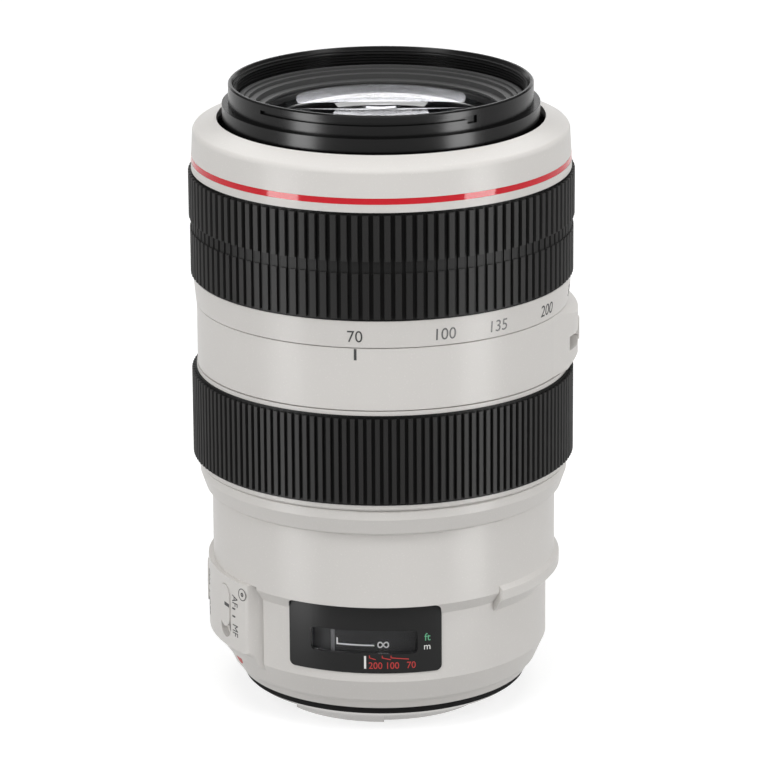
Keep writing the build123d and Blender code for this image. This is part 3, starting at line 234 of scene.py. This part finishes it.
metalBase = {"ringScale": 5200.0, "ringDetail": 2.0, "range": 0.16, "worn": 0.86,
             "cloud": {"scale": 60.0, "detail": 3.0, "roughness": 0.5}, "bump": 0.18, "grain": 0.008 * mm}
metals = {
    "mountSteel": {"colour": (0.52, 0.51, 0.50, 1.0), "roughness": 0.22},
    "screwSteel": {"colour": (0.56, 0.55, 0.54, 1.0), "roughness": 0.3},
    "contactGold": {"colour": (0.83, 0.62, 0.26, 1.0), "roughness": 0.25},
    "silverMetal": {"colour": (0.62, 0.62, 0.63, 1.0), "roughness": 0.34},
    "brass": {"colour": (0.68, 0.5, 0.22, 1.0), "roughness": 0.3},
}


def turnedMetal(name, settings):
    s = Shader(name)
    x, y, z = s.parts(s.place())
    radius = (x * x + y * y) ** 0.5
    along = (z + radius) * settings["ringScale"]
    rings = s.node("ShaderNodeTexNoise", {"noise_dimensions": "1D"},
                   {"W": along, "Scale": 1.0, "Detail": settings["ringDetail"]})
    cloud = s.noise(**settings["cloud"])
    return s.principled(
        Base_Color=s.mixColour(cloud, shade(settings["colour"], settings["worn"]), settings["colour"]),
        Metallic=1.0, Roughness=settings["roughness"] + rings.swing(settings["range"]),
        Normal=s.bump(rings, settings))


glassBase = {"blend": 0.35, "coat": {"scale": 6.0, "detail": 1.0, "roughness": 0.4}, "coatShare": 0.25,
             "ior": 1.52}
glasses = {
    "frontGlass": {"tint": (0.93, 0.95, 0.95, 1.0), "coating": (0.80, 0.76, 0.90, 1.0)},
    "innerGlass": {"tint": (0.92, 0.95, 0.94, 1.0), "coating": (0.70, 0.86, 0.78, 1.0)},
}


def glass(name, settings):
    s = Shader(name)
    facing = s.node("ShaderNodeLayerWeight", {}, {"Blend": settings["blend"]}, output="Facing")
    coat = s.noise(**settings["coat"])
    sheen = s.mixColour(facing, settings["tint"], settings["coating"])
    return s.principled(Base_Color=s.mixColour(coat * settings["coatShare"], sheen, settings["tint"]),
                        Transmission_Weight=1.0, Roughness=0.0, IOR=settings["ior"])


# a thin pane mirrors by its angle and otherwise lets the light straight through
pane = {"tint": (0.97, 0.97, 0.98, 1.0), "mirror": 0.16, "ior": 1.5, "gloss": 0.9, "roughness": 0.03,
        "smear": {"scale": 180.0, "detail": 2.0, "roughness": 0.5}, "smearShare": 0.004}


def clearPane(name, settings):
    s = Shader(name)
    smear = s.noise(**settings["smear"])
    angle = s.node("ShaderNodeFresnel", {}, {"IOR": settings["ior"]})
    through = s.node("ShaderNodeBsdfTransparent", {}, {"Color": settings["tint"]})
    gloss = s.node("ShaderNodeBsdfPrincipled", {}, {"Base Color": grey(settings["gloss"]), "Metallic": 1.0,
                                                    "Roughness": settings["roughness"]})
    share = angle * settings["mirror"] + smear * settings["smearShare"]
    return s.finish(s.node("ShaderNodeMixShader", {}, [share, through, gloss]))


inkBase = {"wear": {"scale": 500.0, "detail": 2.0, "roughness": 0.6}, "worn": 0.9,
           "roughness": 0.5, "range": 0.1}
inks = {
    "inkBlack": {"colour": (0.012, 0.012, 0.012, 1.0)},
    "inkGrey": {"colour": (0.10, 0.10, 0.10, 1.0)},
    "inkWhite": {"colour": (0.80, 0.80, 0.78, 1.0)},
    "scaleWhite": {"colour": (0.95, 0.95, 0.93, 1.0)},
    "inkRed": {"colour": (0.50, 0.022, 0.018, 1.0)},
    "inkGreen": {"colour": (0.10, 0.42, 0.22, 1.0)},
}


def plainInk(name, settings):
    s = Shader(name)
    wear = s.noise(**settings["wear"])
    return s.principled(
        Base_Color=s.mixColour(wear, shade(settings["colour"], settings["worn"]), settings["colour"]),
        Roughness=settings["roughness"] + wear.swing(settings["range"]))


boardGreen = {"cells": 420.0, "line": 0.06, "mottle": {"scale": 160.0, "detail": 3.0, "roughness": 0.5},
              "dark": (0.012, 0.075, 0.03, 1.0), "light": (0.02, 0.11, 0.045, 1.0),
              "track": (0.10, 0.22, 0.07, 1.0),
              "roughness": 0.35, "range": 0.1, "bump": 0.3, "grain": 0.03 * mm}


def board(name, settings):
    s = Shader(name)
    cells = s.node("ShaderNodeTexVoronoi", {"feature": "DISTANCE_TO_EDGE"},
                   {"Vector": s.place(), "Scale": settings["cells"]})
    track = cells.below(settings["line"])
    mottle = s.noise(**settings["mottle"])
    mask = s.mixColour(mottle, settings["dark"], settings["light"])
    return s.principled(Base_Color=s.mixColour(track, mask, settings["track"]),
                        Roughness=settings["roughness"] + mottle * settings["range"],
                        Normal=s.bump(track, settings))


lacquer = {"cloud": {"scale": 80.0, "detail": 2.0, "roughness": 0.5}, "deep": (0.56, 0.004, 0.014, 1.0),
           "bright": (0.62, 0.006, 0.017, 1.0), "roughness": 0.07, "range": 0.02, "specular": 0.22}


def redLacquer(name, settings):
    s = Shader(name)
    cloud = s.noise(**settings["cloud"])
    return s.principled(Base_Color=s.mixColour(cloud, settings["deep"], settings["bright"]),
                        Roughness=settings["roughness"] + cloud * settings["range"],
                        Specular_IOR_Level=settings["specular"])


finishes = {
    "lightPaint": lightPaint("lightPaint", paint),
    "panelPaint": lightPaint("panelPaint", panelPaint),
    "redPaint": redLacquer("redPaint", lacquer),
    "boardGreen": board("boardGreen", boardGreen),
    "windowClear": clearPane("windowClear", pane),
}
families = ((smoothDark, darkBase, darks), (rubber, rubberBase, rubbers), (turnedMetal, metalBase, metals),
            (glass, glassBase, glasses), (plainInk, inkBase, inks))
for make, base, family in families:
    for name, settings in family.items():
        finishes[name] = make(name, {**base, **settings})

nodeFinish = {
    "lightPaint": ["rear_barrel", "index_barrel", "zoom_ring", "front_ring", "focus_ring", "rear_cover"],
    "panelPaint": ["lock_panel", "switch_panel", "lock_lever", "focus_mode_switch", "stabilizer_switch",
                   "stabilizer_mode_switch"],
    "darkSatin": ["front_barrel"],
    "rimBlack": ["filter_ring"],
    "cellBlack": ["front_cell", "rear_cell"],
    "retainerGrey": ["front_retainer"],
    "bezelBlack": ["window_bezel"],
    "plasticBlack": ["contact_block", "inner_sleeve", "stabilizer_base", "stabilizer_holder", "iris_base",
                     "iris_drive_ring", "variator_cell", "focus_cell", "distance_drum"],
    "sealRubber": ["mount_gasket"],
    "anodBlack": ["guide_barrel", "cam_barrel"],
    "bladeBlack": [f"iris_blade_{number}" for number in range(1, 9)],
    "zoomRubber": ["zoom_grip"],
    "focusRubber": ["focus_grip"],
    "redPaint": ["accent_ring"],
    "mountSteel": ["bayonet_mount"],
    "screwSteel": ["mount_screws", "zoom_key"],
    "contactGold": ["contact_pins"],
    "silverMetal": ["motor_stator", "motor_rotor", "iris_motor", "stabilizer_guide"],
    "brass": ["front_rollers", "variator_rollers"],
    "nylon": ["focus_drive_ring"],
    "boardGreen": ["main_board"],
    "frontGlass": ["front_element"],
    "innerGlass": ["second_element", "variator_element", "stabilizer_element", "focus_element",
                   "rear_element"],
    "windowClear": ["window_glass"],
}
dressed = set()
for finish, names in nodeFinish.items():
    for name in names:
        obj = nodes[name]
        obj.data.materials.clear()
        obj.data.materials.append(finishes[finish])
        dressed.add(name)
print("finishes on nodes:", len(dressed), "bare:", sorted(set(nodes) - dressed))

# the moulded ribs have rounded edges
ribs = {"widths": {"zoom_grip": 0.30 * mm, "focus_grip": 0.22 * mm}, "segments": 3, "angle": 35}
for name, width in ribs["widths"].items():
    rounding = nodes[name].modifiers.new("ribRounding", "BEVEL")
    rounding.width = width
    rounding.segments = ribs["segments"]
    rounding.limit_method = "ANGLE"
    rounding.angle_limit = math.radians(ribs["angle"])

# printed marks are thin slabs: they stand off the surface and are sunk in it by a share of that
prints = {"thick": 0.03 * mm, "sunk": 0.6, "step": 0.5 * mm, "near": 1e-9, "trial": 10 * mm, "curveSteps": 6}


def around(radius, fromTop, height):
    angle = math.radians(fromTop - 90.0)
    return Vector((radius * math.cos(angle), radius * math.sin(angle), height))


def evenRadius(radius):
    return lambda height: radius


def coneRadius(low, high, foot, head):
    return lambda height: foot + (height - low) / (high - low) * (head - foot)


def standOff(z, thick):
    return thick if z > 0 else -thick * prints["sunk"]


def wrap(mesh, radiusAt, fromTop, height, thick):
    # x runs round the barrel, y runs up it, z stands off the surface
    for vertex in mesh.vertices:
        x, y, z = vertex.co
        high = height + y
        radius = radiusAt(high)
        turn = fromTop + math.degrees(x / radius)
        vertex.co = around(radius + standOff(z, thick), turn, high)
    mesh.update()


def flatOn(mesh, fromTop, distance, thick):
    # x runs along the flat, y up the barrel, z stands off the face
    out, along = around(1.0, fromTop, 0.0), around(1.0, fromTop + 90.0, 0.0)
    for vertex in mesh.vertices:
        x, y, z = vertex.co
        vertex.co = out * (distance + standOff(z, thick)) + along * x + Vector((0, 0, y))
    mesh.update()


def cutFine(mesh):
    # slices a flat mesh across x so that it can follow a curve
    work = bmesh.new()
    work.from_mesh(mesh)
    xs = [v.co.x for v in work.verts]
    place = min(xs) + prints["step"]
    while place < max(xs):
        geometry = list(work.verts) + list(work.edges) + list(work.faces)
        bmesh.ops.bisect_plane(work, geom=geometry, plane_co=(place, 0, 0), plane_no=(1, 0, 0),
                               dist=prints["near"])
        place += prints["step"]
    work.to_mesh(mesh)
    work.free()


def addPiece(name, mesh, finish, body):
    obj = bpy.data.objects.new(name, mesh)
    scene.collection.objects.link(obj)
    mesh.materials.clear()
    mesh.materials.append(finishes[finish])
    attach(obj, body)


def letterMesh(words, size, squeeze=1.0, turn=0.0):
    # solid letters about the middle of their box, with z either 1 or -1
    curve = bpy.data.curves.new("letters", "FONT")
    curve.body = words
    curve.size = size
    curve.extrude = 0.5
    curve.align_x = "CENTER"
    curve.align_y = "CENTER"
    curve.resolution_u = prints["curveSteps"]
    holder = bpy.data.objects.new("letters", curve)
    scene.collection.objects.link(holder)
    bpy.context.view_layer.update()
    made = bpy.data.meshes.new_from_object(holder.evaluated_get(bpy.context.evaluated_depsgraph_get()))
    bpy.data.objects.remove(holder)
    bpy.data.curves.remove(curve)
    low = [min(v.co[i] for v in made.vertices) for i in range(3)]
    high = [max(v.co[i] for v in made.vertices) for i in range(3)]
    middle = [(a + b) / 2 for a, b in zip(low, high)]
    cosine, sine = math.cos(math.radians(turn)), math.sin(math.radians(turn))
    for v in made.vertices:
        x = (v.co.x - middle[0]) * squeeze
        y = v.co.y - middle[1]
        v.co = (x * cosine - y * sine, x * sine + y * cosine, 1.0 if v.co.z > middle[2] else -1.0)
    return made


def letters(name, words, tall, fromTop, height, radiusAt, finish, body, squeeze=1.0, turn=0.0):
    trial = letterMesh("0", prints["trial"])
    ys = [v.co.y for v in trial.vertices]
    size = prints["trial"] * tall / (max(ys) - min(ys))
    bpy.data.meshes.remove(trial)
    mesh = letterMesh(words, size, squeeze, turn)
    cutFine(mesh)
    wrap(mesh, radiusAt, fromTop, height, prints["thick"])
    addPiece(name, mesh, finish, body)


def outlineMesh(shapes):
    # closed outlines, given as lists of points, made into thin slabs
    work = bmesh.new()
    for points in shapes:
        low = [work.verts.new((x, y, -1.0)) for x, y in points]
        high = [work.verts.new((x, y, 1.0)) for x, y in points]
        work.faces.new(list(reversed(low)))
        work.faces.new(high)
        count = len(points)
        for number in range(count):
            after = (number + 1) % count
            work.faces.new((low[number], low[after], high[after], high[number]))
    bmesh.ops.recalc_face_normals(work, faces=work.faces)
    mesh = bpy.data.meshes.new("outline")
    work.to_mesh(mesh)
    work.free()
    return mesh


def mark(name, shapes, fromTop, height, radiusAt, finish, body, thick=prints["thick"]):
    mesh = outlineMesh(shapes)
    cutFine(mesh)
    wrap(mesh, radiusAt, fromTop, height, thick)
    addPiece(name, mesh, finish, body)


def bar(width, tall, x=0.0, y=0.0):
    return [(x - width / 2, y - tall / 2), (x + width / 2, y - tall / 2),
            (x + width / 2, y + tall / 2), (x - width / 2, y + tall / 2)]


def stroke(points, width):
    # one quad for each run of a bent line, a little longer than the run so that corners close
    quads = []
    for (ax, ay), (bx, by) in zip(points, points[1:]):
        long = math.hypot(bx - ax, by - ay)
        ux, uy = (bx - ax) / long, (by - ay) / long
        ax, ay, bx, by = ax - ux * width / 2, ay - uy * width / 2, bx + ux * width / 2, by + uy * width / 2
        nx, ny = -uy * width / 2, ux * width / 2
        quads.append([(ax + nx, ay + ny), (ax - nx, ay - ny), (bx - nx, by - ny), (bx + nx, by + ny)])
    return quads


def unrolled(run, radius, middle):
    # degrees round the barrel and millimetres up it, as points about a middle height
    return [(math.radians(degrees) * radius, high * mm - middle) for degrees, high in run]


def ringOutline(radius, width, count):
    quads = []
    for number in range(count):
        a, b = (2 * math.pi * (number + k) / count for k in (0, 1))
        inner, outer = radius - width / 2, radius + width / 2
        quads.append([(inner * math.cos(a), inner * math.sin(a)), (outer * math.cos(a), outer * math.sin(a)),
                      (outer * math.cos(b), outer * math.sin(b)), (inner * math.cos(b), inner * math.sin(b))])
    return quads


# focal lengths on the zoom ring's band, and their index on the fixed barrel
zoomBand = {"low": 92.31 * mm, "high": 98.59 * mm, "foot": 43.24 * mm, "head": 43.85 * mm,
            "numbers": (("70", -0.8), ("100", 26.6), ("135", 44.7), ("200", 67.2), ("300", 92.0)),
            "tall": 2.75 * mm, "height": 94.95 * mm, "squeeze": 0.95}
bandRadius = coneRadius(zoomBand["low"], zoomBand["high"], zoomBand["foot"], zoomBand["head"])
for words, fromTop in zoomBand["numbers"]:
    letters(f"focalNumber{words}", words, zoomBand["tall"], fromTop, zoomBand["height"], bandRadius,
            "inkBlack", "zoom", squeeze=zoomBand["squeeze"])

zoomIndex = {"radius": 43.1 * mm, "fromTop": -0.8, "low": 89.3 * mm, "high": 91.95 * mm, "width": 0.62 * mm}
mark("zoomIndexMark", [bar(zoomIndex["width"], zoomIndex["high"] - zoomIndex["low"])], zoomIndex["fromTop"],
     (zoomIndex["low"] + zoomIndex["high"]) / 2, evenRadius(zoomIndex["radius"]), "inkBlack", "barrel")
print("zoom numbers and index made")

# index, depth marks and units on the distance window's bezel
bezel = {"radius": 38.35 * mm,
         "index": {"fromTop": 0.67, "height": 15.6 * mm, "width": 0.48 * mm, "tall": 3.1 * mm},
         "depths": (("200", 4.25), ("100", 10.3), ("70", 16.6)),
         "depthTall": 1.6 * mm, "depthHeight": 14.85 * mm, "squeeze": 0.95,
         "hooks": (("depthHookLong", [(2.2, 17.2), (2.2, 16.75), (4.2, 16.3)]),
                   ("depthHookMiddle", [(6.6, 17.2), (6.6, 16.75), (9.4, 16.3)]),
                   ("depthHookShort", [(9.6, 17.2), (9.6, 16.75), (15.6, 16.3)])),
         "hookHeight": 16.7 * mm, "hookLine": 0.2 * mm,
         "units": (("feetLetters", "ft", 1.75 * mm, 22.3, 21.35 * mm, "inkGreen"),
                   ("metreLetter", "m", 1.6 * mm, 22.2, 18.85 * mm, "inkWhite"))}
bezelRadius = evenRadius(bezel["radius"])
index = bezel["index"]
mark("distanceIndex", [bar(index["width"], index["tall"])], index["fromTop"], index["height"], bezelRadius,
     "inkWhite", "barrel")
for words, fromTop in bezel["depths"]:
    letters(f"depthNumber{words}", words, bezel["depthTall"], fromTop, bezel["depthHeight"], bezelRadius,
            "inkRed", "barrel", squeeze=bezel["squeeze"])
for name, run in bezel["hooks"]:
    points = unrolled(run, bezel["radius"], bezel["hookHeight"])
    mark(name, stroke(points, bezel["hookLine"]), 0.0, bezel["hookHeight"], bezelRadius, "inkRed", "barrel")
for name, words, tall, fromTop, height, ink in bezel["units"]:
    letters(name, words, tall, fromTop, height, bezelRadius, ink, "barrel")

# distance scale on the drum, seen through the window
drum = {"radius": 35.46 * mm,
        "infinity": {"width": 2.4 * mm, "tall": 1.25 * mm, "waist": 1.4, "count": 40, "line": 0.30 * mm,
                     "fromTop": 6.9, "height": 18.87 * mm},
        "reach": {"run": ((-10.5, 20.0), (-10.5, 18.7), (3.3, 18.7)), "line": 0.34 * mm, "height": 19 * mm},
        "feet": (("30", 23.5), ("15", 33.0), ("10", 42.5), ("7", 51.5), ("5", 61.0), ("4", 70.5)),
        "metres": (("10", 24.5), ("5", 34.0), ("3", 43.5), ("2", 52.5), ("1.5", 62.0), ("1.2", 71.5)),
        "tall": 1.5 * mm, "feetHeight": 20.8 * mm, "metresHeight": 18.1 * mm,
        "edge": {"width": 0.9 * mm, "tall": 9.0 * mm, "fromTop": -12.2, "height": 20.2 * mm}}
drumRadius = evenRadius(drum["radius"])


def infinityRun(settings):
    points = []
    for number in range(settings["count"] + 1):
        a = 2 * math.pi * number / settings["count"]
        bottom = 1 + math.sin(a) ** 2
        points.append((settings["width"] / 2 * math.cos(a) / bottom,
                       settings["tall"] * settings["waist"] * math.sin(a) * math.cos(a) / bottom))
    return points


infinity, reach, edge = drum["infinity"], drum["reach"], drum["edge"]
mark("infinityMark", stroke(infinityRun(infinity), infinity["line"]), infinity["fromTop"], infinity["height"],
     drumRadius, "scaleWhite", "focus_drive")
mark("reachLine", stroke(unrolled(reach["run"], drum["radius"], reach["height"]), reach["line"]), 0.0,
     reach["height"], drumRadius, "scaleWhite", "focus_drive")
for words, fromTop in drum["feet"]:
    letters(f"feetNumber{words}", words, drum["tall"], fromTop, drum["feetHeight"], drumRadius,
            "inkGreen", "focus_drive")
for words, fromTop in drum["metres"]:
    label = words.replace(".", "p")
    letters(f"metreNumber{label}", words, drum["tall"], fromTop, drum["metresHeight"], drumRadius,
            "scaleWhite", "focus_drive")
mark("scaleEdge", [bar(edge["width"], edge["tall"])], edge["fromTop"], edge["height"], drumRadius,
     "inkGrey", "focus_drive")
print("distance window marked")

# switch words and ticks, beside each knob
panel = {"radius": 41.35 * mm, "side": 6.45, "tall": 2.3 * mm, "squeeze": 0.74, "turn": -90,
         "first": 25.2 * mm, "second": 17.9 * mm,
         "ticks": ((23.2 * mm, 1.3 * mm), (21.3 * mm, 1.3 * mm)), "tickTall": 0.42 * mm, "tickBack": 0.8,
         "words": ((-56.0, "AF", "MF"), (-83.0, "ON", "OFF"), (-110.0, "1", "2"))}
panelRadius = evenRadius(panel["radius"])
for place, first, second in panel["words"]:
    beside = place + panel["side"]
    for words, height in ((first, panel["first"]), (second, panel["second"])):
        letters(f"switchWord{words}", words, panel["tall"], beside, height, panelRadius, "inkBlack", "barrel",
                squeeze=panel["squeeze"], turn=panel["turn"])
    for number, (height, width) in enumerate(panel["ticks"]):
        mark(f"switchTick{abs(int(place))}{number}", [bar(width, panel["tickTall"])],
             beside - panel["tickBack"], height, panelRadius, "inkBlack", "barrel")

modeMark = {"fromTop": -45.3, "height": 27.6 * mm, "ring": 1.4 * mm, "line": 0.2 * mm, "ringCount": 48,
            "dot": 0.35 * mm, "dotCount": 24}
modeShapes = (("modeRing", ringOutline(modeMark["ring"], modeMark["line"], modeMark["ringCount"])),
              ("modeDot", ringOutline(modeMark["dot"], modeMark["dot"], modeMark["dotCount"])))
for name, shapes in modeShapes:
    mark(name, shapes, modeMark["fromTop"], modeMark["height"], panelRadius, "inkBlack", "barrel")

# the knobs' faces are flat, so their index lines are too
knob = {"face": 41.6 * mm, "low": 23.0 * mm, "high": 23.85 * mm, "from": 0.0 * mm, "to": 2.5 * mm,
        "places": (("focus_mode_switch", -56.0), ("stabilizer_switch", -83.0),
                   ("stabilizer_mode_switch", -110.0))}
for body, place in knob["places"]:
    line = outlineMesh([bar(knob["to"] - knob["from"], knob["high"] - knob["low"],
                            (knob["from"] + knob["to"]) / 2, (knob["low"] + knob["high"]) / 2)])
    flatOn(line, place, knob["face"], prints["thick"])
    addPiece(f"{body}Line", line, "inkBlack", body)
print("switches marked")

# red alignment dot on the cone
cone = {"low": 5.5 * mm, "high": 10.7 * mm, "foot": 35.85 * mm, "head": 38.15 * mm}
dot = {"halfWide": 1.5 * mm, "halfTall": 1.35 * mm, "step": 12, "fromTop": -59.3,
       "height": 8.3 * mm, "thick": 0.08 * mm}
dotPoints = [(dot["halfWide"] * math.cos(math.radians(a)), dot["halfTall"] * math.sin(math.radians(a)))
             for a in range(0, 360, dot["step"])]
dotRadius = coneRadius(cone["low"], cone["high"], cone["foot"], cone["head"])
mark("mountDot", [dotPoints], dot["fromTop"], dot["height"], dotRadius, "inkRed", "barrel",
     thick=dot["thick"])

# filter thread inside the front rim: it follows the rim's cone near the top and fades at both ends
thread = {"radius": 33.52 * mm, "depth": 0.34 * mm, "low": 139.95 * mm, "pitch": 0.66 * mm, "turns": 5,
          "steps": 180, "fade": 20, "wide": 0.32, "narrow": 0.06, "coneLow": 142.3 * mm, "coneSlope": 0.58}


def threadMesh(settings):
    work = bmesh.new()
    rows = []
    total = settings["turns"] * settings["steps"]
    wide, narrow = settings["wide"], settings["narrow"]
    for number in range(total + 1):
        angle = 2 * math.pi * number / settings["steps"]
        rise = settings["low"] + settings["pitch"] * number / settings["steps"]
        ends = min(1.0, min(number, total - number) / settings["fade"])
        foot = settings["radius"] + max(0.0, rise - settings["coneLow"]) * settings["coneSlope"]
        crest = foot - settings["depth"] * ends
        section = ((foot, -wide), (crest, -narrow), (crest, narrow), (foot, wide))
        across, along = math.cos(angle), math.sin(angle)
        rows.append([work.verts.new((r * across, r * along, rise + share * settings["pitch"]))
                     for r, share in section])
    for before, after in zip(rows, rows[1:]):
        for k in range(len(before)):
            nextOne = (k + 1) % len(before)
            work.faces.new((before[k], before[nextOne], after[nextOne], after[k]))
    work.faces.new(rows[0])
    work.faces.new(list(reversed(rows[-1])))
    bmesh.ops.recalc_face_normals(work, faces=work.faces)
    mesh = bpy.data.meshes.new("filterThread")
    work.to_mesh(mesh)
    work.free()
    for face in mesh.polygons:
        face.use_smooth = False
    return mesh


addPiece("filterThread", threadMesh(thread), "threadBlack", "front_group")
print("filter thread made")

# the camera stands where the photo was taken from
view = {"target": (0.0, 0.0, 0.070757), "distance": 1.13273, "elevation": 16.894, "azimuth": 7.4,
        "lens": 227.2, "sensor": 36.0, "aside": 0.00027, "roll": -0.378, "near": 0.05, "far": 30.0}


def direction(azimuth, elevation):
    a, e = math.radians(azimuth), math.radians(elevation)
    return Vector((math.sin(a) * math.cos(e), -math.cos(a) * math.cos(e), math.sin(e)))


def setCamera(settings):
    camera = bpy.data.objects.new("camera", bpy.data.cameras.new("camera"))
    scene.collection.objects.link(camera)
    camera.data.sensor_width = settings["sensor"]
    camera.data.lens = settings["lens"]
    camera.data.clip_start = settings["near"]
    camera.data.clip_end = settings["far"]
    azimuth = math.radians(settings["azimuth"])
    aside = Vector((math.cos(azimuth), math.sin(azimuth), 0))
    target = Vector(settings["target"]) + aside * settings["aside"]
    camera.location = target + direction(settings["azimuth"], settings["elevation"]) * settings["distance"]
    turn = (target - camera.location).to_track_quat("-Z", "Y")
    camera.rotation_mode = "QUATERNION"
    camera.rotation_quaternion = turn @ Quaternion((0, 0, 1), math.radians(settings["roll"]))
    scene.camera = camera


def away(settings):
    # azimuths are counted from the camera's side
    return direction(view["azimuth"] + settings["azimuth"], settings["elevation"]) * settings["distance"]


def softBox(name, settings):
    # a lamp that faces the lens and doesn't show itself to the camera
    lamp = bpy.data.lights.new(name, "AREA")
    lamp.shape = "RECTANGLE"
    lamp.size, lamp.size_y = settings["width"], settings["tall"]
    lamp.energy = settings["glow"] * math.pi * settings["width"] * settings["tall"]
    holder = bpy.data.objects.new(name, lamp)
    scene.collection.objects.link(holder)
    aim = Vector((0, 0, settings["aim"]))
    holder.location = aim + away(settings)
    holder.rotation_euler = (aim - holder.location).to_track_quat("-Z", "Y").to_euler()
    holder.visible_camera = False
    holder.visible_diffuse = not settings.get("glossOnly", False)


def setWorld(settings):
    world = bpy.data.worlds.new("studio")
    scene.world = world
    world.use_nodes = True
    s = Shader(tree=world.node_tree)
    sky = s.node("ShaderNodeBackground", {}, {"Color": grey(1), "Strength": settings["light"]})
    s.node("ShaderNodeOutputWorld", {}, {"Surface": sky})


def blackCard(name, settings):
    # keeps the glossy faces that mirror it dark
    middle = Vector((0, 0, settings["aim"])) + away(settings)
    azimuth = view["azimuth"] + settings["azimuth"]
    across = direction(azimuth + 90, 0) * settings["width"] / 2
    upwards = direction(azimuth, settings["elevation"] + 90) * settings["tall"] / 2
    mesh = bpy.data.meshes.new(name)
    mesh.from_pydata([middle - across - upwards, middle + across - upwards,
                      middle + across + upwards, middle - across + upwards], [], [(0, 1, 2, 3)])
    obj = bpy.data.objects.new(name, mesh)
    scene.collection.objects.link(obj)
    s = Shader(name)
    mesh.materials.append(s.finish(s.node("ShaderNodeBsdfDiffuse", {}, {"Color": grey(settings["level"])})))
    obj.visible_camera = False


def setFloor(settings):
    # white paper with a lift that only camera, glossy and transmission rays see
    height = cadBox[0][2] - settings["gap"]
    size = settings["half"]
    mesh = bpy.data.meshes.new("floor")
    corners = [(x * size, y * size, height) for x, y in ((-1, -1), (1, -1), (1, 1), (-1, 1))]
    mesh.from_pydata(corners, [], [(0, 1, 2, 3)])
    floor = bpy.data.objects.new("floor", mesh)
    scene.collection.objects.link(floor)
    s = Shader("floorPaper")
    path = s.node("ShaderNodeLightPath").socket.node
    camera, glossy, through = (Wire(s, path.outputs[kind])
                               for kind in ("Is Camera Ray", "Is Glossy Ray", "Is Transmission Ray"))
    seen = (camera + glossy + through).clamped()
    paper = s.node("ShaderNodeBsdfDiffuse", {}, {"Color": grey(settings["paper"])})
    glow = s.node("ShaderNodeEmission", {}, {"Color": grey(1), "Strength": seen * settings["lift"]})
    mesh.materials.append(s.finish(s.node("ShaderNodeAddShader", {}, [paper, glow])))


studio = {
    "leftBox": {"azimuth": -52.0, "elevation": 27.0, "distance": 1.3, "width": 0.36, "tall": 1.3,
                "glow": 4.9, "aim": 0.07},
    "rightBox": {"azimuth": 54.0, "elevation": 27.0, "distance": 1.3, "width": 0.36, "tall": 1.3,
                 "glow": 4.9, "aim": 0.07},
    "topBox": {"azimuth": 0.0, "elevation": 78.0, "distance": 1.4, "width": 1.2, "tall": 1.2,
               "glow": 1.9, "aim": 0.07},
    "backCard": {"azimuth": 180.0, "elevation": 6.0, "distance": 1.4, "width": 1.6, "tall": 0.36,
                 "glow": 1.2, "aim": 0.13},
    "backStrip": {"azimuth": 180.0, "elevation": 18.3, "distance": 1.3, "width": 0.165, "tall": 0.084,
                  "glow": 1.9, "aim": 0.13},
    "highStrip": {"azimuth": 180.0, "elevation": 23.5, "distance": 1.3, "width": 0.126, "tall": 0.041,
                  "glow": 0.5, "aim": 0.13},
    "highBox": {"azimuth": 180.0, "elevation": 46.0, "distance": 1.1, "width": 0.9, "tall": 0.7,
                "glow": 6.0, "aim": 0.13, "glossOnly": True},
    "leftStreak": {"azimuth": -48.7, "elevation": 0.0, "distance": 0.1, "width": 0.03, "tall": 0.14,
                   "glow": 16.0, "aim": 0.074, "glossOnly": True},
    "rightStreak": {"azimuth": 48.7, "elevation": 0.0, "distance": 0.1, "width": 0.03, "tall": 0.14,
                    "glow": 16.0, "aim": 0.074, "glossOnly": True},
}
flagBehind = {"azimuth": 180.0, "elevation": 34.0, "distance": 1.6, "width": 2.4, "tall": 1.15, "level": 0.01,
              "aim": 0.13}
setCamera(view)
setWorld({"light": 0.33})
setFloor({"paper": 0.56, "lift": 0.66, "half": 6.0, "gap": 0.02 * mm})
for name, settings in studio.items():
    softBox(name, settings)
blackCard("flagBehind", flagBehind)
scene.view_settings.view_transform = "Standard"
print("camera, lights and floor set")
